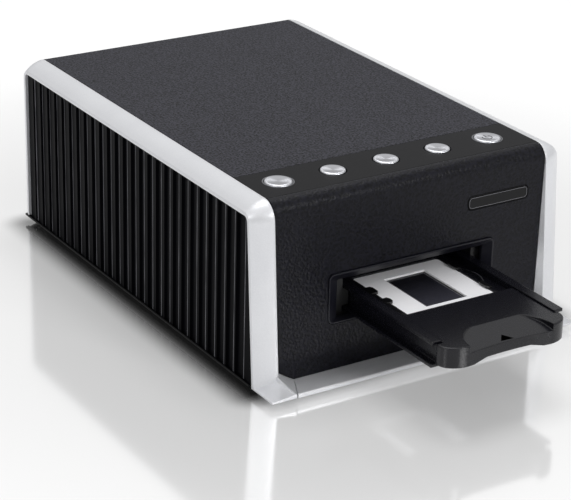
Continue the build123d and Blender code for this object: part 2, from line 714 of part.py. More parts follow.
with BuildPart() as main_board:
    with BuildSketch(Plane.XY.offset(BOARD_Z)):
        with Locations((board_x, board_y)):
            Rectangle(BOARD_W, BOARD_D)
    extrude(amount=BOARD_T)
    with BuildSketch(Plane.XY.offset(BOARD_Z + BOARD_T)):
        with Locations((board_x, board_y)):
            Rectangle(16, 16)
        with Locations((board_x - 12, board_y - 24)):
            Rectangle(8, 12)
        with Locations((board_x + 10, board_y - 30)):
            Rectangle(12, 6)
    extrude(amount=1.6)

# ============================================================================ holder
rails_front = GRIP_FRONT + RAIL_END
first_slide = GRIP_FRONT + SLIDE_FRONT
pockets_end = first_slide - POCKET_GAP + POCKETS * POCKET_PITCH
holder_rear = pockets_end + POCKET_WALL
plate_rear = first_slide - POCKET_GAP - POCKET_WALL
rail_left_web = HOLDER_LEFT + CHANNEL
rail_right_web = HOLDER_RIGHT - CHANNEL
slide_z = HOLDER_HIGH - SLIDE_DROP - SLIDE_T
tray_top = HOLDER_HIGH - TRAY_DROP
grip_top = HOLDER_HIGH - GRIP_DROP
floor_low = slide_z - FLOOR_T
pocket_centres = [first_slide + SLIDE / 2 + i * POCKET_PITCH for i in range(POCKETS)]

with BuildPart() as holder_tray:
    # cross-section: two outward channels joined by the tray floor
    with BuildSketch(facing(rails_front)):
        with BuildLine():
            Polyline(
                (HOLDER_LEFT, HOLDER_HIGH),
                (HOLDER_LEFT, HOLDER_HIGH - WEB),
                (rail_left_web, HOLDER_HIGH - WEB),
                (rail_left_web, HOLDER_LOW + WEB),
                (HOLDER_LEFT, HOLDER_LOW + WEB),
                (HOLDER_LEFT, HOLDER_LOW),
                (rail_left_web + WEB, HOLDER_LOW),
                (rail_left_web + WEB, floor_low),
                (rail_right_web - WEB, floor_low),
                (rail_right_web - WEB, HOLDER_LOW),
                (HOLDER_RIGHT, HOLDER_LOW),
                (HOLDER_RIGHT, HOLDER_LOW + WEB),
                (rail_right_web, HOLDER_LOW + WEB),
                (rail_right_web, HOLDER_HIGH - WEB),
                (HOLDER_RIGHT, HOLDER_HIGH - WEB),
                (HOLDER_RIGHT, HOLDER_HIGH),
                (rail_right_web - WEB, HOLDER_HIGH),
                (rail_right_web - WEB, slide_z),
                (SLIDE / 2 + POCKET_GAP + POCKET_WALL, slide_z),
                (SLIDE / 2 + POCKET_GAP + POCKET_WALL, tray_top),
                (rail_left_web + WEB, tray_top),
                (rail_left_web + WEB, HOLDER_HIGH),
                close=True,
            )
        make_face()
    extrude(amount=-(holder_rear - rails_front))
    # the floor starts behind the grip
    with BuildSketch(Plane.XY.offset(HOLDER_LOW - 1)):
        with Locations(((rail_left_web + rail_right_web) / 2, (rails_front + plate_rear) / 2)):
            Rectangle(rail_right_web - rail_left_web - 2 * WEB, plate_rear - rails_front)
    extrude(amount=HOLDER_HIGH, mode=Mode.SUBTRACT)
    # the grip's lip lies on the wall ahead of the first pocket
    with BuildSketch(Plane.XY.offset(grip_top - LIP_T)):
        with Locations(((rail_left_web + rail_right_web) / 2, first_slide)):
            Rectangle(rail_right_web - rail_left_web - 2 * WEB, 2 * (LIP_REACH + RUN_GAP))
    extrude(amount=HOLDER_HIGH, mode=Mode.SUBTRACT)
    # pockets for the slides, and a light gate through each floor
    with BuildSketch(Plane.XY.offset(slide_z)):
        with Locations(*[(0, y) for y in pocket_centres]):
            Rectangle(SLIDE + 2 * POCKET_GAP, SLIDE + 2 * POCKET_GAP)
    extrude(amount=HOLDER_HIGH, mode=Mode.SUBTRACT)
    with BuildSketch(Plane.XY.offset(HOLDER_LOW - 1)):
        with Locations(*[(0, y) for y in pocket_centres]):
            Rectangle(GATE, GATE)
    extrude(amount=HOLDER_HIGH, mode=Mode.SUBTRACT)

# ---- grip
grip_left = HOLDER_LEFT + GRIP_INSET_LEFT
grip_right = HOLDER_RIGHT - GRIP_INSET_RIGHT
grip_low = grip_top - GRIP_T
grip_shoulder = rails_front - 1.2
grip_mid = (grip_left + grip_right) / 2
neck_left = rail_left_web + WEB + 0.2
neck_right = rail_right_web - WEB - 0.2

with BuildPart() as holder_grip:
    with BuildSketch(Plane.XY.offset(grip_low)):
        with BuildLine():
            Polyline(
                (grip_left, GRIP_FRONT + GRIP_CORNER),
                (grip_left, grip_shoulder),
                (neck_left, grip_shoulder),
                (neck_left, plate_rear),
                (neck_right, plate_rear),
                (neck_right, grip_shoulder),
                (grip_right, grip_shoulder),
                (grip_right, GRIP_FRONT + GRIP_CORNER),
            )
            # round corner, bump, dip, bump, round corner
            right_turn = EllipticalCenterArc(
                (grip_right - GRIP_SWEEP, GRIP_FRONT + GRIP_CORNER), GRIP_SWEEP, GRIP_CORNER, -90, arc_size=90
            )
            left_turn = EllipticalCenterArc(
                (grip_left + GRIP_SWEEP, GRIP_FRONT + GRIP_CORNER), GRIP_SWEEP, GRIP_CORNER, 180, arc_size=90
            )
            ThreePointArc(right_turn @ 0, (grip_mid, GRIP_FRONT + GRIP_DIP), left_turn @ 1)
        make_face()
    extrude(amount=GRIP_T)
    rim = holder_grip.edges().filter_by(lambda e: abs(e.center().Z - grip_top) < 0.01)
    rim = rim.filter_by(lambda e: e.center().Y < grip_shoulder - 0.5)
    chamfer(rim, length=0.5)
    # the neck between the rails is a thin plate
    with BuildSketch(Plane.XY.offset(grip_low)):
        with Locations((grip_mid, grip_shoulder + 50)):
            Rectangle(100, 100)
    extrude(amount=floor_low - grip_low, mode=Mode.SUBTRACT)
    # its thin lip reaches over the first slide
    with BuildSketch(Plane.XY.offset(grip_top)):
        with Locations(((neck_left + neck_right) / 2, (plate_rear + first_slide + LIP_REACH) / 2)):
            Rectangle(neck_right - neck_left, first_slide + LIP_REACH - plate_rear)
    extrude(amount=-LIP_T)
    # hollow underside, with long slopes at both ends
    with BuildSketch(facing(GRIP_FRONT - 5)):
        with BuildLine():
            Polyline(
                (grip_mid - SCOOP_HALF, grip_low),
                (grip_mid - SCOOP_HALF + 4 * SCOOP, grip_low + SCOOP),
                (grip_mid + SCOOP_HALF - 4 * SCOOP, grip_low + SCOOP),
                (grip_mid + SCOOP_HALF, grip_low),
                close=True,
            )
        make_face()
    extrude(amount=-60, mode=Mode.SUBTRACT)

with BuildPart() as finger_recess:
    # deepest at the front edge, running out to nothing behind
    with BuildSketch(Plane.XY.offset(grip_low)):
        with BuildLine():
            recess_rear = GRIP_FRONT + RECESS_REAR
            left_end = ThreePointArc(
                (RECESS_X - RECESS_HALF - 1, GRIP_FRONT - 5),
                (RECESS_X - 0.93 * RECESS_HALF, recess_rear - 6.5),
                (RECESS_X - 0.5 * RECESS_HALF, recess_rear),
            )
            right_end = ThreePointArc(
                (RECESS_X + 0.7 * RECESS_HALF, recess_rear),
                (RECESS_X + 0.97 * RECESS_HALF, recess_rear - 6.5),
                (RECESS_X + RECESS_HALF + 1, GRIP_FRONT - 5),
            )
            Line(left_end @ 1, right_end @ 0)
            Line(right_end @ 1, left_end @ 0)
        make_face()
    extrude(amount=GRIP_T + 5)
    slope = Vector(0, RECESS_REAR, RECESS_DEPTH)
    split(
        bisect_by=Plane(
            origin=(0, recess_rear, grip_top),
            x_dir=(1, 0, 0),
            z_dir=Vector(1, 0, 0).cross(slope),
        ),
        keep=Keep.TOP,
    )

with holder_grip:
    add(finger_recess.part, mode=Mode.SUBTRACT)

# ---- slide in the first pocket
with BuildPart() as slide_mount:
    with BuildSketch(Plane.XY.offset(slide_z)):
        with Locations((0, pocket_centres[0])):
            RectangleRounded(SLIDE, SLIDE, 2)
            Rectangle(WINDOW_X, WINDOW_Y, mode=Mode.SUBTRACT)
    extrude(amount=SLIDE_T)
    mount_rims = slide_mount.edges().filter_by(lambda e: abs(e.center().Z - slide_z - SLIDE_T) < 0.01)
    chamfer(mount_rims, length=0.25)

with BuildPart() as film_frame:
    with BuildSketch(Plane.XY.offset(slide_z + 0.9)):
        with Locations((0, pocket_centres[0])):
            Rectangle(WINDOW_X, WINDOW_Y)
    extrude(amount=0.15)

# ---- black retaining clips: rounded tabs along both sides of every pocket hold the slide's edges
LEFT_TABS = ((7.6, 7.0, 1.6), (-5.3, 5.2, 1.6), (-13.1, 4.6, -1.2), (-19.0, 4.0, -1.8))
RIGHT_TABS = ((12.2, 8.2, 1.0), (-12.6, 8.2, 1.0))
CLIP_STRIP = 1.2          # width of the strip that joins the left tabs
edge = SLIDE / 2

with BuildPart() as slide_clips:
    for centre_y in pocket_centres:
        with BuildSketch(Plane.XY.offset(tray_top)):
            strip_x = rail_left_web + WEB + 0.1
            with Locations((strip_x + CLIP_STRIP / 2, centre_y - 2.5)):
                Rectangle(CLIP_STRIP, SLIDE - 13)
            # each tab: its middle, its width and how far it reaches over the slide
            for middle, width, reach in LEFT_TABS:
                with BuildLine():
                    Polyline(
                        (strip_x, centre_y + middle - width / 2),
                        (reach - edge - 0.8, centre_y + middle - width / 2),
                        (reach - edge, centre_y + middle - width / 2 + 1.4),
                        (reach - edge, centre_y + middle + width / 2 - 1.4),
                        (reach - edge - 0.8, centre_y + middle + width / 2),
                        (strip_x, centre_y + middle + width / 2),
                        close=True,
                    )
                make_face()
        extrude(amount=CLIP_T)
        with BuildSketch(Plane.XY.offset(tray_top)):
            for middle, width, reach in RIGHT_TABS:
                with BuildLine():
                    Polyline(
                        (edge + POCKET_GAP + POCKET_WALL, centre_y + middle - width / 2),
                        (edge - reach + 0.8, centre_y + middle - width / 2),
                        (edge - reach, centre_y + middle - width / 2 + 1.6),
                        (edge - reach, centre_y + middle + width / 2 - 1.6),
                        (edge - reach + 0.8, centre_y + middle + width / 2),
                        (edge + POCKET_GAP + POCKET_WALL, centre_y + middle + width / 2),
                        close=True,
                    )
                make_face()
        extrude(amount=CLIP_T)

with BuildPart() as slide_springs:
    # a leaf spring in the lane on the right presses each slide to the left
    spring_x = edge + POCKET_GAP + POCKET_WALL
    for centre_y in pocket_centres:
        with BuildSketch(Plane.XY.offset(slide_z)):
            with BuildLine():
                inner = ThreePointArc(
                    (spring_x, centre_y - SPRING_HALF),
                    (spring_x + SPRING_BULGE - SPRING_T, centre_y),
                    (spring_x, centre_y + SPRING_HALF),
                )
                outer = ThreePointArc(
                    (spring_x, centre_y + SPRING_HALF + SPRING_T),
                    (spring_x + SPRING_BULGE, centre_y),
                    (spring_x, centre_y - SPRING_HALF - SPRING_T),
                )
                Line(inner @ 1, outer @ 0)
                Line(outer @ 1, inner @ 0)
            make_face()
        extrude(amount=tray_top - slide_z)

# ============================================================================ rack and gears
rack_pitch = pi * MODULE
pitch_line = HOLDER_LOW + 0.2 + MODULE
pinion_r = MODULE * PINION_TEETH / 2
feed_z = pitch_line - pinion_r - 0.1
gear_r = GEAR_MODULE * GEAR_TEETH / 2
motor_r = GEAR_MODULE * MOTOR_TEETH / 2
motor_y = feed_y + gear_r + motor_r + 0.1
pressure = radians(PRESSURE)


def involute_angle(base, r):
    """Polar angle by which an involute has turned at radius r."""
    ratio = min(1.0, base / r)
    return tan(acos(ratio)) - acos(ratio)


def gear_points(module, teeth, tooth_at):
    """Outline of a spur gear with involute flanks; one tooth is centred on the angle tooth_at."""
    pitch = module * teeth / 2
    base = pitch * cos(pressure)
    tip = pitch + 0.92 * module
    root = pitch - 1.2 * module
    half = pi / (2 * teeth) - BACKLASH / (2 * pitch) / 2 + involute_angle(base, pitch)
    low = max(base, root)
    radii = [low, tip]
    points = []
    for tooth in range(teeth):
        middle_angle = radians(tooth_at) + 2 * pi * tooth / teeth
        flank = [(r, half - involute_angle(base, r)) for r in radii]
        if root < base:
            flank.insert(0, (root, half))
        for r, turn in flank:
            points.append((r * cos(middle_angle - turn), r * sin(middle_angle - turn)))
        for r, turn in reversed(flank):
            points.append((r * cos(middle_angle + turn), r * sin(middle_angle + turn)))
    return points


rack_front = feed_y - PUSH_IN - 6
rack_count = ceil((holder_rear - rack_front) / rack_pitch) - 1
tooth_half = rack_pitch / 4 - BACKLASH / 4

with BuildPart() as holder_rack:
    # teeth point down; a gap of the rack stands right above the feed shaft
    first_gap = round((rack_front - feed_y) / rack_pitch)
    outline = []
    for tooth in range(rack_count):
        tooth_y = feed_y + (first_gap + tooth + 0.5) * rack_pitch
        spread_root = tooth_half + 1.2 * MODULE * tan(pressure)
        spread_tip = tooth_half - 0.92 * MODULE * tan(pressure)
        outline.append((tooth_y - spread_root, pitch_line + 1.2 * MODULE))
        outline.append((tooth_y - spread_tip, pitch_line - 0.92 * MODULE))
        outline.append((tooth_y + spread_tip, pitch_line - 0.92 * MODULE))
        outline.append((tooth_y + spread_root, pitch_line + 1.2 * MODULE))
    rack_y0 = outline[0][0] - 0.5
    rack_y1 = outline[-1][0] + 0.5
    with BuildSketch(Plane.YZ.offset(RACK_X - RACK_W / 2)):
        with BuildLine():
            Polyline(
                (rack_y0, pitch_line + 1.2 * MODULE),
                *outline,
                (rack_y1, pitch_line + 1.2 * MODULE),
                (rack_y1, floor_low),
                (rack_y0, floor_low),
                close=True,
            )
        make_face()
    extrude(amount=RACK_W)

PINION_X = RACK_X - RACK_W / 2 + 0.3
PINION_W = RACK_W - 0.6
GEAR_X = 47.0
GEAR_W = 5.0
SHAFT_X0 = GATE / 2 + 0.5
bearing_xs = (SHAFT_X0 + 0.6, 38.0)
BEARING_W = 4.5

with BuildPart() as feed_shaft:
    with BuildSketch(Plane.YZ.offset(SHAFT_X0)):
        with Locations((feed_y, feed_z)):
            Circle(SHAFT_R)
    extrude(amount=GEAR_X + GEAR_W + 1.2 - SHAFT_X0)

with BuildPart() as feed_pinion:
    with BuildSketch(Plane.YZ.offset(PINION_X)):
        with Locations((feed_y, feed_z)):
            with BuildLine():
                Polyline(*[(feed_y + y, feed_z + z) for y, z in gear_points(MODULE, PINION_TEETH, 90)], close=True)
            make_face()
        with Locations((feed_y, feed_z)):
            Circle(SHAFT_R, mode=Mode.SUBTRACT)
    extrude(amount=PINION_W)

with BuildPart() as feed_gear:
    with BuildSketch(Plane.YZ.offset(GEAR_X)):
        with BuildLine():
            Polyline(*[(feed_y + y, feed_z + z) for y, z in gear_points(GEAR_MODULE, GEAR_TEETH, 0)], close=True)
        make_face()
        with Locations((feed_y, feed_z)):
            Circle(SHAFT_R, mode=Mode.SUBTRACT)
    extrude(amount=GEAR_W)

with BuildPart() as shaft_bearings:
    for bearing_x in bearing_xs:
        with BuildSketch(Plane.YZ.offset(bearing_x)):
            with BuildLine():
                Polyline(
                    (feed_y - 7, DECK_TOP - DECK_T),
                    (feed_y - 4.5, feed_z - 3),
                    (feed_y - 2, feed_z - 5),
                    (feed_y + 2, feed_z - 5),
                    (feed_y + 4.5, feed_z - 3),
                    (feed_y + 7, DECK_TOP - DECK_T),
                    close=True,
                )
            make_face()
            with Locations((feed_y, feed_z)):
                Circle(SHAFT_R + BORE_GAP, mode=Mode.SUBTRACT)
        extrude(amount=BEARING_W)

MOTOR_X = GEAR_X + GEAR_W + 0.8 + BRACKET_T
with BuildPart() as drive_motor:
    with BuildSketch(Plane.YZ.offset(MOTOR_X)):
        with Locations((motor_y, feed_z)):
            Circle(MOTOR_R)
    extrude(amount=MOTOR_LENGTH)
    with BuildSketch(Plane.YZ.offset(MOTOR_X - 2)):
        with Locations((motor_y, feed_z)):
            Circle(MOTOR_SHAFT_R + BORE_GAP)
    extrude(amount=12, mode=Mode.SUBTRACT)

with BuildPart() as motor_pinion:
    with BuildSketch(Plane.YZ.offset(GEAR_X - 0.2)):
        tooth_turn = 180 + 180 / MOTOR_TEETH
        with BuildLine():
            Polyline(
                *[(motor_y + y, feed_z + z) for y, z in gear_points(GEAR_MODULE, MOTOR_TEETH, tooth_turn)],
                close=True,
            )
        make_face()
    extrude(amount=GEAR_W + 0.4)
    with BuildSketch(Plane.YZ.offset(GEAR_X - 1.0)):
        with Locations((motor_y, feed_z)):
            Circle(MOTOR_SHAFT_R)
    extrude(amount=MOTOR_X + 8 - GEAR_X + 1.0)

with BuildPart() as motor_bracket:
    with BuildSketch(Plane.YZ.offset(MOTOR_X - BRACKET_T)):
        with BuildLine():
            Polyline(
                (motor_y - 16, FLOOR_TOP),
                (motor_y + 20, FLOOR_TOP),
                (motor_y + 20, feed_z - 6),
                (motor_y + 12, feed_z + 12),
                (motor_y - 8, feed_z + 12),
                (motor_y - 16, feed_z - 6),
                close=True,
            )
        make_face()
        with Locations((motor_y, feed_z)):
            Circle(MOTOR_SHAFT_R + 1, mode=Mode.SUBTRACT)
    extrude(amount=BRACKET_T)

# ============================================================================ deck, guides, lamp, optics
DECK_X0 = GUIDE_LEFT - DECK_MARGIN_LEFT
DECK_X1 = GUIDE_RIGHT + DECK_MARGIN_RIGHT

with BuildPart() as scan_deck:
    with BuildSketch(Plane.XY.offset(DECK_TOP - DECK_T)):
        with Locations(((DECK_X0 + DECK_X1) / 2, (deck_y0 + deck_y1) / 2)):
            Rectangle(DECK_X1 - DECK_X0, deck_y1 - deck_y0)
        with Locations((0, scan_y)):
            Rectangle(GATE, GATE, mode=Mode.SUBTRACT)
        with Locations((RACK_X, feed_y)):
            Rectangle(RACK_W + 3, 2 * pinion_r + 6, mode=Mode.SUBTRACT)
    extrude(amount=DECK_T)


def guide_beam(edge, web, outer):
    """A guide beam whose rib runs in the holder's side channel."""
    towards = 1 if web > edge else -1
    wall = edge - towards * RUN_GAP
    rib = web - towards * RUN_GAP
    with BuildPart() as beam:
        with BuildSketch(facing(deck_y0)):
            with BuildLine():
                Polyline(
                    (outer, DECK_TOP),
                    (wall, DECK_TOP),
                    (wall, HOLDER_LOW + WEB + RUN_GAP),
                    (rib, HOLDER_LOW + WEB + RUN_GAP),
                    (rib, HOLDER_HIGH - WEB - RUN_GAP),
                    (wall, HOLDER_HIGH - WEB - RUN_GAP),
                    (wall, GUIDE_TOP),
                    (outer, GUIDE_TOP),
                    close=True,
                )
            make_face()
        extrude(amount=-(deck_y1 - deck_y0))
    return beam


left_guide = guide_beam(HOLDER_LEFT, rail_left_web, GUIDE_LEFT)
right_guide = guide_beam(HOLDER_RIGHT, rail_right_web, GUIDE_RIGHT)

LAMP_HALF = 29.0
LAMP_DEPTH = 52.0
LAMP_TOP = 72.0
DIFFUSER_T = 2.0
with BuildPart() as lamp_housing:
    with BuildSketch(Plane.XY.offset(GUIDE_TOP)):
        with Locations(((GUIDE_LEFT + GUIDE_RIGHT) / 2, scan_y)):
            Rectangle(GUIDE_RIGHT - GUIDE_LEFT, LAMP_DEPTH)
    extrude(amount=2)
    with BuildSketch(Plane.XY.offset(GUIDE_TOP)):
        with Locations((0, scan_y)):
            Rectangle(2 * LAMP_HALF, LAMP_DEPTH)
    extrude(amount=LAMP_TOP - GUIDE_TOP)
    with BuildSketch(Plane.XY.offset(GUIDE_TOP)):
        with Locations((0, scan_y)):
            Rectangle(2 * LAMP_HALF - 4, LAMP_DEPTH - 4)
    extrude(amount=LAMP_TOP - GUIDE_TOP - 2, mode=Mode.SUBTRACT)
    # cooling fins
    with BuildSketch(Plane.XY.offset(LAMP_TOP)):
        with Locations((0, scan_y)):
            with GridLocations(7, 1, 8, 1):
                Rectangle(1.6, LAMP_DEPTH - 8)
    extrude(amount=6)

with BuildPart() as lamp_diffuser:
    with BuildSketch(Plane.XY.offset(GUIDE_TOP + 1)):
        with Locations((0, scan_y)):
            Rectangle(2 * LAMP_HALF - 4.2, LAMP_DEPTH - 4.2)
    extrude(amount=DIFFUSER_T)

with BuildPart() as led_board:
    with BuildSketch(Plane.XY.offset(LAMP_TOP - 2 - BOARD_T)):
        with Locations((0, scan_y)):
            Rectangle(2 * LAMP_HALF - 4.4, LAMP_DEPTH - 4.4)
    extrude(amount=BOARD_T)
    with BuildSketch(Plane.XY.offset(LAMP_TOP - 2 - BOARD_T)):
        with Locations((0, scan_y)):
            with GridLocations(16, 16, 3, 3):
                Rectangle(3.5, 3.5)
    extrude(amount=-1)

LENS_Z = 14.5
LENS_R = 6.5
LENS_WALL = 1.5
LENS_LENGTH = 20.0
MOUNT_RIM = 2.5           # mount's wall round the lens
MOUNT_SPLAY = 3.0         # the mount widens to its foot by this much a side
MOUNT_LENGTH = 10.0
MIRROR_SIDE = 19.0        # the block's two square sides
MIRROR_T = 1.5
MIRROR_W = 32.0
mirror_y0 = scan_y - 11
with BuildPart() as mirror_block:
    with BuildSketch(Plane.YZ.offset(-MIRROR_W / 2)):
        with BuildLine():
            Polyline(
                (mirror_y0, FLOOR_TOP),
                (mirror_y0 + MIRROR_SIDE, FLOOR_TOP),
                (mirror_y0, FLOOR_TOP + MIRROR_SIDE),
                close=True,
            )
        make_face()
    extrude(amount=MIRROR_W)

with BuildPart() as scan_mirror:
    with BuildSketch(Plane.YZ.offset(1 - MIRROR_W / 2)):
        with BuildLine():
            Polyline(
                (mirror_y0 + MIRROR_SIDE, FLOOR_TOP),
                (mirror_y0 + MIRROR_SIDE + MIRROR_T, FLOOR_TOP),
                (mirror_y0 + MIRROR_T, FLOOR_TOP + MIRROR_SIDE),
                (mirror_y0, FLOOR_TOP + MIRROR_SIDE),
                close=True,
            )
        make_face()
    extrude(amount=MIRROR_W - 2)

with BuildPart() as lens_mount:
    with BuildSketch(facing(lens_y + 4)):
        with BuildLine():
            Polyline(
                (-LENS_R - MOUNT_RIM - MOUNT_SPLAY, FLOOR_TOP),
                (LENS_R + MOUNT_RIM + MOUNT_SPLAY, FLOOR_TOP),
                (LENS_R + MOUNT_RIM, LENS_Z + LENS_R + MOUNT_RIM),
                (-LENS_R - MOUNT_RIM, LENS_Z + LENS_R + MOUNT_RIM),
                close=True,
            )
        make_face()
        with Locations((0, LENS_Z)):
            Circle(LENS_R + 0.02, mode=Mode.SUBTRACT)
    extrude(amount=-MOUNT_LENGTH)

with BuildPart() as lens_barrel:
    with BuildSketch(facing(lens_y)):
        with Locations((0, LENS_Z)):
            Circle(LENS_R)
            Circle(LENS_R - LENS_WALL, mode=Mode.SUBTRACT)
    extrude(amount=-LENS_LENGTH)

with BuildPart() as lens_glass:
    with BuildSketch(facing(lens_y + 1)):
        with Locations((0, LENS_Z)):
            Circle(LENS_R - LENS_WALL - 0.1)
    extrude(amount=-3)

with BuildPart() as sensor_board:
    with BuildSketch(facing(sensor_y)):
        with Locations((0, FLOOR_TOP + SENSOR_H / 2)):
            Rectangle(SENSOR_W, SENSOR_H)
    extrude(amount=-BOARD_T)
    with BuildSketch(facing(sensor_y)):
        with Locations((0, LENS_Z)):
            Rectangle(34, 8)
    extrude(amount=2.2)

# ============================================================================ screws
# round heads under the chassis, hexagon heads on the guide beams
with BuildPart() as case_screws:
    with BuildSketch(Plane.XY.offset(CHASSIS_LIFT)):
        with Locations(*cover_posts):
            Circle(HEAD_R)
    extrude(amount=-HEAD_T)

guide_xs = ((GUIDE_LEFT + HOLDER_LEFT) / 2, (GUIDE_RIGHT + HOLDER_RIGHT) / 2)
screw_y0 = deck_y0 + 6
screw_y1 = scan_y + LAMP_DEPTH / 2 + 6
screw_y3 = deck_y1 - 12
with BuildPart() as guide_screws:
    with BuildSketch(Plane.XY.offset(GUIDE_TOP)):
        for screw_y in (screw_y0, screw_y1, (screw_y1 + screw_y3) / 2, screw_y3):
            with Locations(*[(x, screw_y) for x in guide_xs]):
                RegularPolygon(HEAD_R - 0.8, 6)
    extrude(amount=HEAD_T)

pieces = {
    "base_chassis": base_chassis,
    "rubber_feet": rubber_feet,
    "left_frame": left_frame,
    "right_frame": right_frame,
    "front_lip": front_lip,
    "left_side_panel": left_side_panel,
    "right_side_panel": right_side_panel,
    "top_cover": top_cover,
    "button_strip": button_strip,
    "button_rings": button_rings,
    "front_panel": front_panel,
    "slot_bezel": slot_bezel,
    "name_plate": name_plate,
    "rear_panel": rear_panel,
    "usb_socket": usb_socket,
    "power_inlet": power_inlet,
    "main_board": main_board,
    "button_board": button_board,
    "tact_switches": tact_switches,
    "button_1": button_1,
    "button_2": button_2,
    "button_3": button_3,
    "button_4": button_4,
    "button_5": button_5,
    "holder_tray": holder_tray,
    "holder_grip": holder_grip,
    "holder_rack": holder_rack,
    "slide_mount": slide_mount,
    "film_frame": film_frame,
    "slide_clips": slide_clips,
    "slide_springs": slide_springs,
    "scan_deck": scan_deck,
    "left_guide": left_guide,
    "right_guide": right_guide,
    "shaft_bearings": shaft_bearings,
    "feed_shaft": feed_shaft,
    "feed_pinion": feed_pinion,
    "feed_gear": feed_gear,
    "drive_motor": drive_motor,
    "motor_bracket": motor_bracket,
    "motor_pinion": motor_pinion,
    "lamp_housing": lamp_housing,
    "lamp_diffuser": lamp_diffuser,
    "led_board": led_board,
    "mirror_block": mirror_block,
    "scan_mirror": scan_mirror,
    "lens_mount": lens_mount,
    "lens_barrel": lens_barrel,
    "lens_glass": lens_glass,
    "sensor_board": sensor_board,
    "case_screws": case_screws,
    "guide_screws": guide_screws,
}

os.makedirs("parts", exist_ok=True)
for name, piece in pieces.items():
    piece.part.label = name
    export_step(piece.part, f"parts/{name}.step")
    print(name, len(piece.part.solids()), round(piece.part.volume, 1))
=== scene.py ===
# %% [markdown]
# # A desktop slide scanner, dressed for its portrait
# The shape comes ready made from the CAD model: a black box in a silver surround, five round keys on
# the top, and a holder that carries mounted slides in through a slot in the front.  What is left for
# Blender is what the eye checks last: the leather grain on the mouldings, the flake in the silver
# paint, the turning marks on the keys, the gloss of film, and a few trims too thin for the CAD model.
# All lengths here are metres and stand in the same frame as the CAD, so nothing needs fitting.

# %% Load the CAD model as a fixed frame
from math import cos, pi, sin
import bpy
import bmesh
from mathutils import Matrix, Vector


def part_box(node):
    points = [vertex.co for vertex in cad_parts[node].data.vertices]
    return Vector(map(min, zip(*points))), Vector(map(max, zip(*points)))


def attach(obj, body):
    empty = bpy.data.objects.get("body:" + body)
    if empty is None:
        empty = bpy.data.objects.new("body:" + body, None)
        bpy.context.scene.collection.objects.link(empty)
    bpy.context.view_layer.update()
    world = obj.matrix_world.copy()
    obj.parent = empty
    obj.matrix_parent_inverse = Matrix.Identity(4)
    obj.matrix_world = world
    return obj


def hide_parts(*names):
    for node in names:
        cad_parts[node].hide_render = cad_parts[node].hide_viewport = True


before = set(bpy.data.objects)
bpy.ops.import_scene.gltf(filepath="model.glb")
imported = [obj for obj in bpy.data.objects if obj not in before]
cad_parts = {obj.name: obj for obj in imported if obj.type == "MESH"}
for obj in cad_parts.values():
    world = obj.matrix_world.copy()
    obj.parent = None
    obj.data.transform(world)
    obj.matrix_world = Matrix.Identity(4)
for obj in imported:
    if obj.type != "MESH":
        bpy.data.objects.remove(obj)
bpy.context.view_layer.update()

MM = 0.001

# %% [markdown]
# ## Colours and nodes
# A colour picked on a screen is an sRGB number, while the renderer works in linear light.  One function
# turns a hex value into linear, so every finish below can be written the way a colour card prints it.
# A second function adds one shader node with its settings and links, which keeps each recipe readable.

# %% Two helpers: hex colours, and one node at a time
def hex_colour(code):
    """Turns "#rrggbb" into linear RGBA."""
    parts = [int(code[i:i + 2], 16) / 255 for i in (1, 3, 5)]
    return tuple(p / 12.92 if p <= 0.04045 else ((p + 0.055) / 1.055) ** 2.4 for p in parts) + (1.0,)


def add(tree, kind, sockets=None, **settings):
    """Adds one node. sockets maps an input's name or number to a value or to another node's output."""
    made = tree.nodes.new(kind)
    for name, value in settings.items():
        setattr(made, name, value)
    for name, value in (sockets or {}).items():
        if isinstance(value, bpy.types.NodeSocket):
            tree.links.new(value, made.inputs[name])
        else:
            made.inputs[name].default_value = value
    return made


def blank_finish(name):
    """A new material with only its output, and the tree to build in."""
    finish = bpy.data.materials.new(name)
    finish.use_nodes = True
    finish.node_tree.nodes.clear()
    return finish, finish.node_tree


def close_finish(tree, shader):
    """Joins the last shader to the material's output."""
    add(tree, "ShaderNodeOutputMaterial", {"Surface": shader.outputs[0]})


def soft_edges(tree, radius_mm):
    """Rounds the light on every edge by radius_mm, as a mould or a lacquer coat does."""
    return add(tree, "ShaderNodeBevel", {"Radius": radius_mm * MM}, samples=6)
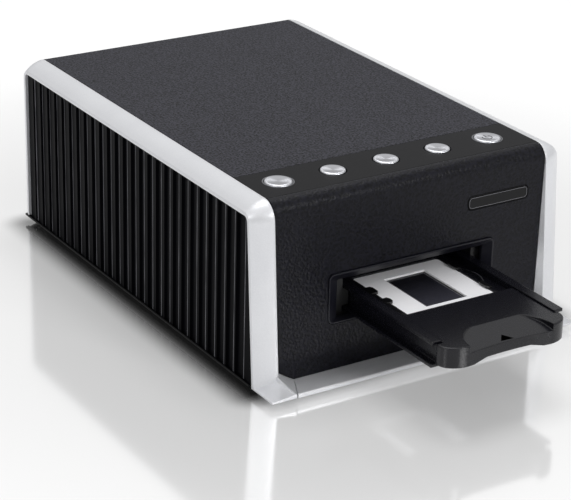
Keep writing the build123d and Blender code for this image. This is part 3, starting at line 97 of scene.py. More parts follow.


# %% [markdown]
# ## Textured black ABS
# The top, the front and the back are injection-moulded ABS.  The mould is etched with a leather grain:
# small rounded cells with creases between them.  A Voronoi pattern gives the cells, a little noise bends
# them out of their regular order, and a bump turns both into relief.  The colour is lighter on the cell tops
# and darker in the creases: a painted highlight and painted shade.  The cells are about a millimetre
# wide; finer ones would vanish between the picture's pixels.

# %% Leather-grained ABS
def grained_abs(name, body, light, cell_mm, relief_mm, roughness, specular):
    """Black ABS with an etched grain: cells cell_mm wide and relief_mm deep."""
    finish, tree = blank_finish(name)
    place = add(tree, "ShaderNodeTexCoord")
    warp = add(tree, "ShaderNodeTexNoise",
               {"Vector": place.outputs["Object"], "Scale": 1 / (3 * cell_mm * MM), "Detail": 2.0})
    bent = add(tree, "ShaderNodeMix", {0: 0.0012, 4: place.outputs["Object"], 5: warp.outputs["Color"]},
               data_type="VECTOR")
    cells = add(tree, "ShaderNodeTexVoronoi", {"Vector": bent.outputs[1], "Scale": 1 / (cell_mm * MM)},
                feature="SMOOTH_F1")
    pits = add(tree, "ShaderNodeTexNoise",
               {"Vector": place.outputs["Object"], "Scale": 1 / (0.45 * cell_mm * MM), "Detail": 3.0})
    height = add(tree, "ShaderNodeMath", {0: pits.outputs["Fac"], 1: 0.5, 2: cells.outputs["Distance"]},
                 operation="MULTIPLY_ADD")
    relief = add(tree, "ShaderNodeBump",
                 {"Strength": 1.0, "Distance": relief_mm * MM, "Height": height.outputs[0],
                  "Normal": soft_edges(tree, 0.5).outputs[0]})
    # painted highlight on the cell tops and painted shade in the creases, taken from the relief's height
    sheen_and_crease_shade = add(tree, "ShaderNodeMapRange",
               {"Value": height.outputs[0], "From Min": 0.5, "From Max": 0.78})
    colour = add(tree, "ShaderNodeMix",
                 {0: sheen_and_crease_shade.outputs[0], 6: hex_colour(body), 7: hex_colour(light)}, data_type="RGBA")
    shader = add(tree, "ShaderNodeBsdfPrincipled",
                 {"Base Color": colour.outputs[2], "Roughness": roughness, "IOR": 1.53,
                  "Specular IOR Level": specular, "Normal": relief.outputs[0]})
    close_finish(tree, shader)
    return finish


top_grain = grained_abs("abs_leather_grain_top", "#050507", "#3a3a42", 0.9, 0.2, 0.5, 0.12)
front_grain = grained_abs("abs_leather_grain_front", "#050509", "#13131b", 1.3, 0.2, 0.36, 0.14)
print("grained ABS ready")

# %% [markdown]
# ## Smooth mouldings
# The button strip, the slot's frame and the slide holder come out of a polished or a finely blasted
# mould.  What sets them apart is gloss, and the faint unevenness of large plastic faces, which a slow
# noise in the roughness and a shallow bump bring out.

# %% Smooth moulded plastics
def moulded(name, shade, shade_worn, roughness, specular=0.5, edge_mm=0.3, ripple_mm=0.02, patch_mm=6.0,
            speckle_mm=0.5):
    """Injection-moulded plastic: two close shades, a slow ripple and a fine speckle in the gloss."""
    finish, tree = blank_finish(name)
    place = add(tree, "ShaderNodeTexCoord")
    patches = add(tree, "ShaderNodeTexNoise",
                  {"Vector": place.outputs["Object"], "Scale": 1 / (patch_mm * MM), "Detail": 3.0})
    speckle = add(tree, "ShaderNodeTexNoise",
                  {"Vector": place.outputs["Object"], "Scale": 1 / (speckle_mm * MM), "Detail": 2.0})
    colour = add(tree, "ShaderNodeMix",
                 {0: patches.outputs["Fac"], 6: hex_colour(shade), 7: hex_colour(shade_worn)},
                 data_type="RGBA")
    gloss = add(tree, "ShaderNodeMapRange",
                {"Value": speckle.outputs["Fac"], "To Min": roughness - 0.05, "To Max": roughness + 0.07})
    ripple = add(tree, "ShaderNodeBump",
                 {"Strength": 0.35, "Distance": ripple_mm * MM, "Height": speckle.outputs["Fac"],
                  "Normal": soft_edges(tree, edge_mm).outputs[0]})
    shader = add(tree, "ShaderNodeBsdfPrincipled",
                 {"Base Color": colour.outputs[2], "Roughness": gloss.outputs[0], "IOR": 1.5,
                  "Specular IOR Level": specular, "Normal": ripple.outputs[0]})
    close_finish(tree, shader)
    return finish


strip_abs = moulded("abs_satin_strip", "#08080b", "#0d0d11", 0.36, 0.09)
bezel_abs = moulded("abs_satin_bezel", "#101017", "#191922", 0.4, 0.3, 0.4)
chassis_abs = moulded("abs_matt_chassis", "#0c0c0d", "#141415", 0.6)
plate_abs = moulded("abs_polished_plate", "#060608", "#0a0a0c", 0.3, 0.2)
plate_edge = moulded("abs_plate_edge", "#030303", "#050505", 0.4, 0.1)
highlight_line = moulded("grey_painted_highlight_line", "#8a8a90", "#7c7c82", 0.4)
holder_abs = moulded("abs_satin_holder", "#0a0a0f", "#111118", 0.25, 0.36, 0.8)
arrow_ink = moulded("black_ink_arrow", "#010101", "#020202", 0.7, 0.0)
clip_abs = moulded("abs_glossy_clip", "#070708", "#0d0d0e", 0.15, 0.6, 0.4)
slide_styrene = moulded("polystyrene_slide_mount", "#f4f4f7", "#fafafc", 0.42)
deck_abs = moulded("abs_matt_deck", "#1d1d1e", "#262627", 0.6)
acetal = moulded("acetal_gear_white", "#d8d8d4", "#e6e6e2", 0.4)
opal = moulded("acrylic_opal_diffuser", "#e4e4e2", "#eeeeec", 0.35)
foot_rubber = moulded("rubber_foot", "#0b0b0b", "#151515", 0.75)
lamp_abs = moulded("abs_heatproof_lamp", "#101010", "#181818", 0.55)
print("smooth plastics ready")

# %% [markdown]
# The side panels carry upright saw-tooth ribs, and each crest is to show as a thin lighter line: a painted
# highlight.  A saw-tooth along the panel's box, counted in ribs, says where it goes.  The solid's own crests
# stand slightly closer together (8.41 mm), so the painted highlights drift off them towards the front.

# %% Ribbed ABS with a painted highlight on the crests
RIBS = 27
side_low, side_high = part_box("left_side_panel")
rib_pitch = (side_high.y - side_low.y) / RIBS


def ribbed_abs(name, body, crest_highlight_colour, crest_share):
    """Matt black ABS whose colour lightens over the last crest_share of each rib: a painted highlight."""
    finish, tree = blank_finish(name)
    place = add(tree, "ShaderNodeTexCoord")
    axes = add(tree, "ShaderNodeSeparateXYZ", {0: place.outputs["Object"]})
    ribs = add(tree, "ShaderNodeMapRange",
               {"Value": axes.outputs["Y"], "From Min": side_low.y, "From Max": side_high.y,
                "To Min": 0.0, "To Max": float(RIBS)}, clamp=False)
    tooth = add(tree, "ShaderNodeMath", {0: ribs.outputs[0]}, operation="FRACT")
    line = add(tree, "ShaderNodeMapRange",
               {"Value": tooth.outputs[0], "From Min": 1 - crest_share, "From Max": 1 - crest_share / 2},
               interpolation_type="SMOOTHSTEP")
    highlight_breakup = add(tree, "ShaderNodeTexNoise",
                 {"Vector": place.outputs["Object"], "Scale": 1 / (12 * MM), "Detail": 3.0})
    # painted highlight on each crest, broken up by noise
    crest_highlight = add(tree, "ShaderNodeMath", {0: line.outputs[0], 1: highlight_breakup.outputs["Fac"]}, operation="MULTIPLY")
    colour = add(tree, "ShaderNodeMix",
                 {0: crest_highlight.outputs[0], 6: hex_colour(body), 7: hex_colour(crest_highlight_colour)}, data_type="RGBA")
    shader = add(tree, "ShaderNodeBsdfPrincipled",
                 {"Base Color": colour.outputs[2], "Roughness": 0.45, "Specular IOR Level": 0.02,
                  "Normal": soft_edges(tree, 0.25).outputs[0]})
    close_finish(tree, shader)
    return finish


side_abs = ribbed_abs("abs_matt_ribbed_side", "#040407", "#9a9aa0", 0.09)
print("ribs:", RIBS, "pitch", round(rib_pitch / MM, 2), "mm")

# %% [markdown]
# ## Silver paint
# The surround is plastic too, but sprayed with silver lacquer: tiny aluminium flakes in a clear binder.
# It is half a metal to the eye, bright where it faces the light and never mirror-like.  Part metallic,
# medium roughness and a flake speckle give that, with a thin clear coat on top.

# %% Silver lacquer on the surround
def silver_lacquer(name, dark, light, metallic, roughness):
    """Sprayed silver lacquer; the flakes are drawn 0.35 mm wide, coarser than life, so that they show."""
    finish, tree = blank_finish(name)
    place = add(tree, "ShaderNodeTexCoord")
    flakes = add(tree, "ShaderNodeTexVoronoi",
                 {"Vector": place.outputs["Object"], "Scale": 1 / (0.35 * MM)}, feature="F1")
    clouds = add(tree, "ShaderNodeTexNoise",
                 {"Vector": place.outputs["Object"], "Scale": 1 / (25 * MM), "Detail": 2.0})
    grey = add(tree, "ShaderNodeSeparateColor", {"Color": flakes.outputs["Color"]})
    blend = add(tree, "ShaderNodeMath", {0: grey.outputs[0], 1: 0.35, 2: clouds.outputs["Fac"]},
                operation="MULTIPLY_ADD")
    colour = add(tree, "ShaderNodeMix",
                 {0: blend.outputs[0], 6: hex_colour(dark), 7: hex_colour(light)}, data_type="RGBA")
    # painted shade: the hairline rail under the ribs is coloured black by its height; in silver it draws a
    # bright line
    axes = add(tree, "ShaderNodeSeparateXYZ", {0: place.outputs["Object"]})
    below = add(tree, "ShaderNodeMath", {0: axes.outputs["Z"], 1: side_low.z + 0.3 * MM},
                operation="LESS_THAN")
    behind = add(tree, "ShaderNodeMath", {0: axes.outputs["Y"], 1: side_low.y + 0.5 * MM},
                 operation="GREATER_THAN")
    rail_painted_shade = add(tree, "ShaderNodeMath", {0: below.outputs[0], 1: behind.outputs[0]}, operation="MULTIPLY")
    rail_shaded_colour = add(tree, "ShaderNodeMix",
                 {0: rail_painted_shade.outputs[0], 6: colour.outputs[2], 7: hex_colour("#060608")}, data_type="RGBA")
    flaked = add(tree, "ShaderNodeMapRange", {"Value": rail_painted_shade.outputs[0], "To Min": metallic, "To Max": 0.0})
    lacquered = add(tree, "ShaderNodeMapRange", {"Value": rail_painted_shade.outputs[0], "To Min": 0.25, "To Max": 0.0})
    shine = add(tree, "ShaderNodeMapRange", {"Value": rail_painted_shade.outputs[0], "To Min": 0.5, "To Max": 0.1})
    orange_peel = add(tree, "ShaderNodeBump",
                      {"Strength": 0.25, "Distance": 0.01 * MM, "Height": grey.outputs[0],
                       "Normal": soft_edges(tree, 0.5).outputs[0]})
    shader = add(tree, "ShaderNodeBsdfPrincipled",
                 {"Base Color": rail_shaded_colour.outputs[2], "Metallic": flaked.outputs[0], "Roughness": roughness,
                  "Specular IOR Level": shine.outputs[0], "Coat Weight": lacquered.outputs[0],
                  "Coat Roughness": 0.3, "Normal": orange_peel.outputs[0]})
    close_finish(tree, shader)
    return finish


silver = silver_lacquer("silver_lacquer_surround", "#d9dade", "#e7e8eb", 0.3, 0.34)
print("silver lacquer ready")

# %% [markdown]
# ## Metals
# The keys are turned from aluminium.  The cutter leaves rings, and light caught by rings makes the two
# bright fans that everyone knows from a spun face.  Cycles draws those when the shader is anisotropic
# and its tangent runs round the key's own axis, so the tangent is worked out from the key's centre.

# %% Turned aluminium, with the tangent running round each key
def turned_aluminium(name, centre, tint="#cbccd1"):
    """Aluminium turned about a vertical axis through centre; the rings are drawn 0.4 mm apart."""
    finish, tree = blank_finish(name)
    place = add(tree, "ShaderNodeTexCoord")
    arm = add(tree, "ShaderNodeVectorMath", {0: place.outputs["Object"], 1: centre}, operation="SUBTRACT")
    round_it = add(tree, "ShaderNodeVectorMath", {0: arm.outputs[0], 1: (0, 0, 1)}, operation="CROSS_PRODUCT")
    rings = add(tree, "ShaderNodeTexWave", {"Vector": arm.outputs[0], "Scale": 1 / (2 * 0.4 * MM) / pi},
                wave_type="RINGS", rings_direction="Z")
    groove = add(tree, "ShaderNodeBump",
                 {"Strength": 0.12, "Distance": 0.01 * MM, "Height": rings.outputs["Fac"]})
    shader = add(tree, "ShaderNodeBsdfPrincipled",
                 {"Base Color": hex_colour(tint), "Metallic": 1.0, "Roughness": 0.3, "Anisotropic": 0.85,
                  "Tangent": round_it.outputs[0], "Normal": groove.outputs[0]})
    close_finish(tree, shader)
    return finish


def plain_metal(name, tint, tint_dull, roughness, streak=(0.4, 0.4, 6.0)):
    """A sheet or bar metal whose rolling marks run along the longest streak, in millimetres."""
    finish, tree = blank_finish(name)
    place = add(tree, "ShaderNodeTexCoord")
    stretch = add(tree, "ShaderNodeVectorMath",
                  {0: place.outputs["Object"], 1: tuple(1 / (s * MM) for s in streak)},
                  operation="MULTIPLY")
    marks = add(tree, "ShaderNodeTexNoise", {"Vector": stretch.outputs[0], "Scale": 1.0, "Detail": 2.0})
    colour = add(tree, "ShaderNodeMix",
                 {0: marks.outputs["Fac"], 6: hex_colour(tint), 7: hex_colour(tint_dull)},
                 data_type="RGBA")
    gloss = add(tree, "ShaderNodeMapRange",
                {"Value": marks.outputs["Fac"], "To Min": roughness - 0.06, "To Max": roughness + 0.08})
    shader = add(tree, "ShaderNodeBsdfPrincipled",
                 {"Base Color": colour.outputs[2], "Metallic": 1.0, "Roughness": gloss.outputs[0]})
    close_finish(tree, shader)
    return finish


ring_metal = plain_metal("aluminium_key_ring", "#8c8d91", "#77787c", 0.35)
spring_metal = plain_metal("spring_steel_leaf", "#e4e5e8", "#c9cace", 0.16)
sheet_metal = plain_metal("tinned_steel_sheet", "#b7b8ba", "#9fa0a3", 0.35)
shaft_metal = plain_metal("ground_steel_shaft", "#b2b3b6", "#97989b", 0.25, (6.0, 0.4, 0.4))
brass_metal = plain_metal("machined_brass", "#c9a55c", "#b08c46", 0.3)
mirror_metal = plain_metal("front_surface_mirror", "#f0f0f0", "#e8e8e8", 0.08)
barrel_metal = plain_metal("anodised_black_barrel", "#1b1b1c", "#111112", 0.4)
print("metals ready")

# %% [markdown]
# ## Film, glass and circuit board
# The film in the slide is a dark, slightly violet transparency with a soft gradient and a high gloss.
# The lens is glass.  The boards are fibreglass under green solder mask, with a faint weave.

# %% Film, lens glass and circuit board
def film_emulsion(name, top, bottom, along, span):
    """Developed film: a gradient along one axis under the gloss of the emulsion."""
    finish, tree = blank_finish(name)
    place = add(tree, "ShaderNodeTexCoord")
    axes = add(tree, "ShaderNodeSeparateXYZ", {0: place.outputs["Object"]})
    ramp = add(tree, "ShaderNodeMapRange",
               {"Value": axes.outputs[along], "From Min": span[0], "From Max": span[1]})
    grain = add(tree, "ShaderNodeTexNoise",
                {"Vector": place.outputs["Object"], "Scale": 1 / (2.5 * MM), "Detail": 4.0})
    wobble = add(tree, "ShaderNodeMath", {0: grain.outputs["Fac"], 1: 0.3, 2: ramp.outputs[0]},
                 operation="MULTIPLY_ADD")
    colour = add(tree, "ShaderNodeMix",
                 {0: wobble.outputs[0], 6: hex_colour(top), 7: hex_colour(bottom)}, data_type="RGBA")
    shader = add(tree, "ShaderNodeBsdfPrincipled",
                 {"Base Color": colour.outputs[2], "Roughness": 0.18, "IOR": 1.48})
    close_finish(tree, shader)
    return finish


def coated_glass(name, tint):
    """Lens glass with a coating tint and faint polishing marks."""
    finish, tree = blank_finish(name)
    place = add(tree, "ShaderNodeTexCoord")
    haze = add(tree, "ShaderNodeTexNoise", {"Vector": place.outputs["Object"], "Scale": 1 / (1.5 * MM)})
    gloss = add(tree, "ShaderNodeMapRange", {"Value": haze.outputs["Fac"], "To Min": 0.02, "To Max": 0.06})
    shader = add(tree, "ShaderNodeBsdfPrincipled",
                 {"Base Color": hex_colour(tint), "Transmission Weight": 1.0, "IOR": 1.52,
                  "Roughness": gloss.outputs[0]})
    close_finish(tree, shader)
    return finish


def circuit_board(name, mask, copper):
    """Green solder mask over fibreglass; the weave is drawn 0.8 mm apart."""
    finish, tree = blank_finish(name)
    place = add(tree, "ShaderNodeTexCoord")
    weave = add(tree, "ShaderNodeTexBrick",
                {"Vector": place.outputs["Object"], "Scale": 1 / (3.0 * MM), "Color1": hex_colour(mask),
                 "Color2": hex_colour(copper), "Mortar": hex_colour(mask), "Mortar Size": 0.01})
    shader = add(tree, "ShaderNodeBsdfPrincipled",
                 {"Base Color": weave.outputs["Color"], "Roughness": 0.3, "IOR": 1.5})
    close_finish(tree, shader)
    return finish


film_low, film_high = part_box("film_frame")
film = film_emulsion("film_emulsion_dark", "#3b3b44", "#17171c", 1, (film_low.y, film_high.y))
lens = coated_glass("coated_lens_glass", "#dfe9ec")
board_mask = circuit_board("solder_mask_green", "#0f4a25", "#135a2d")
print("film from y", round(film_low.y, 4), "to", round(film_high.y, 4))

# %% [markdown]
# ## Give each CAD node its finish
# The list reads like a bill of finishes.  Each key gets its own turned aluminium, because the tangent
# has to run round its own centre.

# %% Finishes on the CAD nodes
finishes = {
    "base_chassis": chassis_abs, "rubber_feet": foot_rubber, "left_frame": silver, "right_frame": silver,
    "front_lip": silver, "left_side_panel": side_abs, "right_side_panel": side_abs, "top_cover": top_grain,
    "button_strip": strip_abs, "button_rings": ring_metal, "front_panel": front_grain,
    "slot_bezel": bezel_abs, "name_plate": plate_abs, "rear_panel": front_grain, "usb_socket": sheet_metal,
    "power_inlet": plate_edge, "main_board": board_mask, "button_board": board_mask,
    "tact_switches": chassis_abs, "holder_tray": holder_abs, "holder_grip": holder_abs,
    "holder_rack": holder_abs, "slide_mount": slide_styrene, "film_frame": film, "slide_clips": clip_abs,
    "slide_springs": spring_metal, "scan_deck": deck_abs, "left_guide": deck_abs, "right_guide": deck_abs,
    "shaft_bearings": deck_abs, "feed_shaft": shaft_metal, "feed_pinion": acetal, "feed_gear": acetal,
    "drive_motor": sheet_metal, "motor_bracket": sheet_metal, "motor_pinion": brass_metal,
    "lamp_housing": lamp_abs, "lamp_diffuser": opal, "led_board": board_mask, "mirror_block": lamp_abs,
    "scan_mirror": mirror_metal, "lens_mount": lamp_abs, "lens_barrel": barrel_metal, "lens_glass": lens,
    "sensor_board": board_mask, "case_screws": sheet_metal, "guide_screws": sheet_metal,
}
KEYS = ["button_1", "button_2", "button_3", "button_4", "button_5"]
key_centres = {}
for key in KEYS:
    low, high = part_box(key)
    key_centres[key] = Vector(((low.x + high.x) / 2, (low.y + high.y) / 2, high.z))
    finishes[key] = turned_aluminium("turned_aluminium_" + key, tuple(key_centres[key]))
for name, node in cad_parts.items():
    for place in node.material_slots:
        place.material = finishes[name]
print("finished nodes:", len(finishes), "missing:", sorted(set(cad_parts) - set(finishes)))

# %% [markdown]
# ## Keys with a spun face
# The CAD keys have the right size, but a lathe gives them what the eye looks for: a dish that runs out
# smoothly into a rounded rim.  A lathe in mesh code is a profile and a loop: the profile's points are
# turned about the axis and joined to faces.  Each piece replaces its CAD node and rides on that body.

# %% Turned keys on a lathe
def lathe(name, profile, centre, steps=72):
    """Turns (radius, z) points about a vertical axis through centre and joins them to one closed mesh."""
    shape = bmesh.new()
    rings = []
    for radius, z in profile:
        if radius == 0:
            rings.append([shape.verts.new((centre.x, centre.y, z))])
        else:
            rings.append([shape.verts.new((centre.x + radius * cos(2 * pi * k / steps),
                                           centre.y + radius * sin(2 * pi * k / steps), z))
                          for k in range(steps)])
    for inner, outer in zip(rings, rings[1:]):
        for k in range(steps):
            after = (k + 1) % steps
            if len(inner) == 1:
                shape.faces.new((inner[0], outer[k], outer[after]))
            elif len(outer) == 1:
                shape.faces.new((inner[after], inner[k], outer[0]))
            else:
                shape.faces.new((inner[k], outer[k], outer[after], inner[after]))
    bmesh.ops.recalc_face_normals(shape, faces=shape.faces)
    for face in shape.faces:
        face.smooth = True
    mesh = bpy.data.meshes.new(name)
    shape.to_mesh(mesh)
    shape.free()
    piece = bpy.data.objects.new(name, mesh)
    bpy.context.scene.collection.objects.link(piece)
    return piece


DISH, RIM = 0.35 * MM, 0.9 * MM
for number, key in enumerate(KEYS, 1):
    low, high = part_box(key)
    radius = (high.x - low.x) / 2
    skirt = high.z - 2.9 * MM
    profile = [(0, high.z - DISH)]
    profile += [(radius * k / 6, high.z - DISH * (1 - (k / 5) ** 2)) for k in range(1, 5)]
    profile += [(radius - RIM, high.z)]
    profile += [(radius - RIM + RIM * sin(pi * k / 12), high.z - RIM * (1 - cos(pi * k / 12)))
                for k in range(1, 7)]
    profile += [(radius, skirt), (1.6 * MM, skirt), (1.6 * MM, low.z), (0, low.z)]
    cap = lathe("key_cap_" + str(number), profile, key_centres[key])
    cap.data.materials.append(finishes[key])
    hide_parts(key)
    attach(cap, "key_" + str(number))
    print(cap.name, "radius", round(radius / MM, 2), "mm")

# %% [markdown]
# ## Small trims
# Four trims are too thin for the CAD model: the printed outline round the bare name plate, the dark
# margin of the film, the arrow on the grip, and the on/off symbol on the right-hand key.  The plate and the
# film each also get a thin light line inside the dark one, a painted highlight.  Each is a flat outline
# raised by a few hundredths of a millimetre, so that it lies on its surface and not in it.

# %% Flat trims from an outline
def flat_trim(name, rows, lift, body, finish):
    """Joins rows of points to a strip of faces and gives it the thickness lift, a vector."""
    shape = bmesh.new()
    made = [[shape.verts.new(point) for point in row] for row in rows]
    for row, after in zip(made, made[1:]):
        for k in range(len(row) - 1):
            shape.faces.new((row[k], row[k + 1], after[k + 1], after[k]))
    bmesh.ops.remove_doubles(shape, verts=shape.verts, dist=1e-7)
    raised = bmesh.ops.extrude_face_region(shape, geom=shape.faces[:])["geom"]
    bmesh.ops.translate(shape, verts=[v for v in raised if isinstance(v, bmesh.types.BMVert)], vec=lift)
    bmesh.ops.recalc_face_normals(shape, faces=shape.faces)
    mesh = bpy.data.meshes.new(name)
    shape.to_mesh(mesh)
    shape.free()
    mesh.materials.append(finish)
    piece = bpy.data.objects.new(name, mesh)
    bpy.context.scene.collection.objects.link(piece)
    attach(piece, body)
    return piece


def rounded_loop(length, height, corner, steps=8):
    """Points (u, v) round a rounded rectangle centred on the origin, closed."""
    loop = []
    for quarter, (su, sv) in enumerate(((1, 1), (-1, 1), (-1, -1), (1, -1))):
        for k in range(steps + 1):
            turn = pi / 2 * (quarter + k / steps)
            loop.append((su * (length / 2 - corner) + corner * cos(turn),
                         sv * (height / 2 - corner) + corner * sin(turn)))
    return loop + loop[:1]


# %% Outline of the name plate, with a painted highlight line
plate_low, plate_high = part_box("name_plate")
plate_middle = (plate_low + plate_high) / 2
PANEL_LEAN = 2.7 / 88.7
plate_out = Vector((0, -cos(PANEL_LEAN), sin(PANEL_LEAN)))
plate_up = Vector((0, sin(PANEL_LEAN), cos(PANEL_LEAN)))
plate_face = Vector((plate_middle.x, 0, plate_middle.z))
plate_face.y = plate_low.y + (plate_high.z - plate_low.z) / 2 * sin(PANEL_LEAN)


def on_plate(loop, raised):
    """Places a loop (u, v) on the plate's leaning face, raised by so much."""
    return [plate_face + Vector((u, 0, 0)) + v * plate_up + raised * plate_out for u, v in loop]


def ring_loops(length, height, corner, width):
    """The outer and the inner loop of a printed ring, from its outer size and its line width."""
    outer = rounded_loop(length, height, corner)
    inner = rounded_loop(length - 2 * width, height - 2 * width, corner - width)
    return outer, inner


PLATE_LENGTH, PLATE_HEIGHT, PLATE_CORNER = 36.1 * MM, 6.9 * MM, 2.5 * MM
# the inner line is a painted highlight along the plate's edge
for name, inset, width, ink in (("plate_outline", 0.25 * MM, 0.5 * MM, plate_edge),
                                ("plate_inner_line", 0.8 * MM, 0.22 * MM, highlight_line)):
    loops = ring_loops(PLATE_LENGTH - 2 * inset, PLATE_HEIGHT - 2 * inset, PLATE_CORNER - inset, width)
    flat_trim(name, [on_plate(loop, 0.03 * MM) for loop in loops], 0.04 * MM * plate_out,
              "housing", ink)
print("name plate", round((plate_high.x - plate_low.x) / MM, 2), "x",
      round((plate_high.z - plate_low.z) / MM, 2), "mm")

# %% Margin of the film, with a painted highlight line
FILM_CORNER = 1.4 * MM
film_middle = (film_low + film_high) / 2
film_size = film_high - film_low
# the light line inside the margin is a painted highlight
for name, inset, width, ink in (("film_margin", 0.1 * MM, 0.9 * MM, plate_edge),
                                ("film_frame_line", 1.0 * MM, 0.3 * MM, highlight_line)):
    loops = ring_loops(film_size.x - 2 * inset, film_size.y - 2 * inset, FILM_CORNER - inset, width)
    rows = [[Vector((film_middle.x + u, film_middle.y + v, film_high.z + 0.02 * MM)) for u, v in loop]
            for loop in loops]
    flat_trim(name, rows, Vector((0, 0, 0.03 * MM)), "holder", ink)
print("film", round(film_size.x / MM, 1), "x", round(film_size.y / MM, 1), "mm")

# %% Arrow on the grip
PRINT_LIFT = Vector((0, 0, 0.05 * MM))
RECESS_REAR_Y, RECESS_SLOPE = -141.35 * MM, 3.3 / 16.0
grip_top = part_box("holder_grip")[1].z


def on_recess(x_mm, y_mm):
    """A point on the sloped floor of the finger recess."""
    y = y_mm * MM
    return Vector((x_mm * MM, y, grip_top - (RECESS_REAR_Y - y) * RECESS_SLOPE))


arrow_tip = on_recess(1.7, -151.1)
arrow_left = on_recess(-1.4, -155.0)
arrow_right = on_recess(5.6, -155.3)
flat_trim("grip_arrow", [[arrow_left, arrow_right], [arrow_tip, arrow_tip]], PRINT_LIFT,
          "holder", arrow_ink)
print("arrow", [round(v / MM, 1) for v in arrow_tip])

# %% On/off symbol on the right-hand key
sign = key_centres["button_5"]
SIGN_R, SIGN_LINE = 2.6 * MM, 0.42 * MM


def on_key(radius, turn, dx=0.0):
    """A point just above the key's dish, at a radius and a turn from the far side."""
    x, y = radius * sin(turn) + dx, radius * cos(turn)
    cap_r = (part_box("button_5")[1].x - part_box("button_5")[0].x) / 2
    dish = DISH * (1 - min(1, (x * x + y * y) ** 0.5 / cap_r) ** 2)
    return Vector((sign.x + x, sign.y + y, sign.z - dish))


arc_turns = [0.75 + (2 * pi - 1.5) * k / 36 for k in range(37)]
ring_rows = [[on_key(SIGN_R, t) for t in arc_turns], [on_key(SIGN_R - SIGN_LINE, t) for t in arc_turns]]
flat_trim("power_ring", ring_rows, PRINT_LIFT, "key_5", plate_edge)
bar_ends = (0.6 * MM, SIGN_R + 0.5 * MM)
bar_rows = [[on_key(end, 0, side) for end in bar_ends] for side in (-SIGN_LINE / 2, SIGN_LINE / 2)]
flat_trim("power_bar", bar_rows, PRINT_LIFT, "key_5", plate_edge)
print("on/off symbol at", [round(v / MM, 1) for v in sign])

# %% [markdown]
# ## Floor, background and light
# The scanner stands on white.  The floor is a real surface, so that it takes the shadow and a faint
# reflection; it glows a little for rays that come from the camera or from glossy surfaces, which lifts it
# to the white of the background without more light on the object.  The dark edge close to the body is
# painted and not a rendered shadow.  In the world, glossy rays see a room that dims towards the horizon,
# which keeps the black plastics dark.

# %% White floor and background
floor_mesh = bpy.data.meshes.new("floor")
sheet = bmesh.new()
bmesh.ops.create_grid(sheet, x_segments=1, y_segments=1, size=6.0)
sheet.to_mesh(floor_mesh)
sheet.free()
floor = bpy.data.objects.new("floor", floor_mesh)
bpy.context.scene.collection.objects.link(floor)
paper, tree = blank_finish("white_studio_floor")
FOOT_MIDDLE = (0.0, (side_low.y + side_high.y) / 2, 0.0)
FOOT_HALF = (-side_low.x - 1 * MM, (side_high.y - side_low.y) / 2 - 1 * MM, 1.0)
path = add(tree, "ShaderNodeLightPath")
seen = add(tree, "ShaderNodeMath",
           {0: path.outputs["Is Camera Ray"], 1: path.outputs["Is Glossy Ray"]}, operation="MAXIMUM")
seen_too = add(tree, "ShaderNodeMath",
               {0: seen.outputs[0], 1: path.outputs["Is Transmission Ray"]}, operation="MAXIMUM")
glow_level = add(tree, "ShaderNodeMath", {0: seen_too.outputs[0], 1: 0.42}, operation="MULTIPLY")
# a dark edge is painted round the body's outline at rest; it doesn't follow the lamps or the joints
SHADE_REACH = 19 * MM
spot = add(tree, "ShaderNodeTexCoord")
from_middle = add(tree, "ShaderNodeVectorMath", {0: spot.outputs["Object"], 1: FOOT_MIDDLE},
                  operation="SUBTRACT")
both_ways = add(tree, "ShaderNodeVectorMath", {0: from_middle.outputs[0]}, operation="ABSOLUTE")
beyond = add(tree, "ShaderNodeVectorMath", {0: both_ways.outputs[0], 1: FOOT_HALF}, operation="SUBTRACT")
outside = add(tree, "ShaderNodeVectorMath", {0: beyond.outputs[0], 1: (0, 0, 0)}, operation="MAXIMUM")
gap = add(tree, "ShaderNodeVectorMath", {0: outside.outputs[0]}, operation="LENGTH")
open_air = add(tree, "ShaderNodeMapRange",
               {"Value": gap.outputs["Value"], "From Min": 0.0, "From Max": SHADE_REACH, "To Min": 0.02,
                "To Max": 1.0},
               interpolation_type="SMOOTHSTEP")
dimmed_glow = add(tree, "ShaderNodeMath", {0: glow_level.outputs[0], 1: open_air.outputs[0]},
                  operation="MULTIPLY")
glow = add(tree, "ShaderNodeEmission", {"Color": (1, 1, 1, 1), "Strength": dimmed_glow.outputs[0]})
paper_white = add(tree, "ShaderNodeMix",
                  {0: open_air.outputs[0], 6: hex_colour("#1c1c1c"), 7: hex_colour("#dcdcdc")},
                  data_type="RGBA")
surface = add(tree, "ShaderNodeBsdfDiffuse", {"Color": paper_white.outputs[2]})
both = add(tree, "ShaderNodeAddShader", {0: surface.outputs[0], 1: glow.outputs[0]})
# the polish is strongest round the scanner and fades over the next 26 cm
POLISH_FULL, POLISH_END = 160 * MM, 420 * MM
away = add(tree, "ShaderNodeVectorMath", {0: spot.outputs["Object"]}, operation="LENGTH")
polish = add(tree, "ShaderNodeMapRange",
             {"Value": away.outputs["Value"], "From Min": POLISH_FULL, "From Max": POLISH_END, "To Min": 0.4,
              "To Max": 0.0},
             interpolation_type="SMOOTHSTEP")
mirror_coat = add(tree, "ShaderNodeBsdfGlossy", {"Color": (1, 1, 1, 1), "Roughness": 0.1})
sheet_finish = add(tree, "ShaderNodeMixShader",
                   {0: polish.outputs[0], 1: both.outputs[0], 2: mirror_coat.outputs[0]})
close_finish(tree, sheet_finish)
floor_mesh.materials.append(paper)

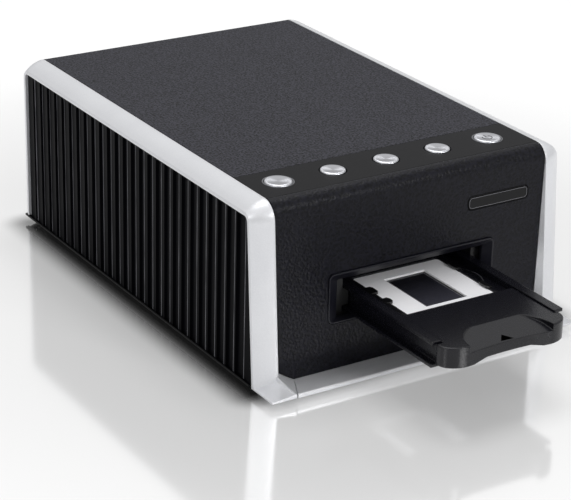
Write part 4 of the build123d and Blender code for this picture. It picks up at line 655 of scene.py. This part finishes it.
world = bpy.data.worlds.new("white_room")
bpy.context.scene.world = world
world.use_nodes = True
sky = world.node_tree
sky.nodes.clear()
path = add(sky, "ShaderNodeLightPath")
seen = add(sky, "ShaderNodeMath",
           {0: path.outputs["Is Camera Ray"], 1: path.outputs["Is Glossy Ray"]}, operation="MAXIMUM")
seen_too = add(sky, "ShaderNodeMath",
               {0: seen.outputs[0], 1: path.outputs["Is Transmission Ray"]}, operation="MAXIMUM")
way = add(sky, "ShaderNodeTexCoord")
height = add(sky, "ShaderNodeSeparateXYZ", {0: way.outputs["Generated"]})
ceiling = add(sky, "ShaderNodeMapRange",
              {"Value": height.outputs["Z"], "From Min": 0.15, "From Max": 0.9, "To Min": 0.45,
               "To Max": 1.0})
for_gloss = add(sky, "ShaderNodeMix",
                {0: path.outputs["Is Glossy Ray"], 2: 1.0, 3: ceiling.outputs[0]}, data_type="FLOAT")
level = add(sky, "ShaderNodeMapRange",
            {"Value": seen_too.outputs[0], "To Min": 0.36, "To Max": for_gloss.outputs[0]})
air = add(sky, "ShaderNodeBackground", {"Color": (1, 1, 1, 1), "Strength": level.outputs[0]})
add(sky, "ShaderNodeOutputWorld", {"Surface": air.outputs[0]})

# %% Soft studio lamps
def softbox(name, place, aim, width, height, watts):
    """A rectangular lamp at place that looks at aim."""
    lamp = bpy.data.lights.new(name, "AREA")
    lamp.shape = "RECTANGLE"
    lamp.size = width
    lamp.size_y = height
    lamp.energy = watts
    holder = bpy.data.objects.new(name, lamp)
    holder.location = place
    holder.rotation_euler = (Vector(aim) - Vector(place)).to_track_quat("-Z", "Y").to_euler()
    bpy.context.scene.collection.objects.link(holder)
    return holder


softbox("overhead_softbox", (0.1, 0.35, 1.5), (0, 0, 0.05), 0.9, 0.7, 10)
softbox("front_softbox", (0.35, -1.5, 0.75), (0, 0, 0.05), 0.5, 0.4, 9)
softbox("left_softbox", (-1.5, -0.6, 0.9), (0, 0, 0.05), 0.4, 0.8, 4)
print("lamps ready")

# %% [markdown]
# ## Camera
# The camera's place was worked out from the straight edges of the body: a long lens about a metre away,
# a little above the top, and hardly tilted to one side.

# %% Camera
YAW, PITCH, ROLL = 0.57066, 0.40848, 0.02559
forward = Vector((sin(YAW) * cos(PITCH), cos(YAW) * cos(PITCH), -sin(PITCH)))
right = Vector((cos(YAW), -sin(YAW), 0))
up = right.cross(forward)
rolled_right = cos(ROLL) * right + sin(ROLL) * up
rolled_up = -sin(ROLL) * right + cos(ROLL) * up
eye = bpy.data.objects.new("camera", bpy.data.cameras.new("camera"))
turn = Matrix((rolled_right, rolled_up, -forward)).transposed().to_4x4()
eye.matrix_world = Matrix.Translation(Vector((-529.8, -798.15, 436.9)) * MM) @ turn
eye.data.lens = 129.53
eye.data.sensor_width = 36.0
eye.data.clip_start = 0.05
bpy.context.scene.collection.objects.link(eye)
bpy.context.scene.camera = eye
bpy.context.scene.view_settings.view_transform = "Standard"
print("camera", [round(v, 3) for v in eye.location])
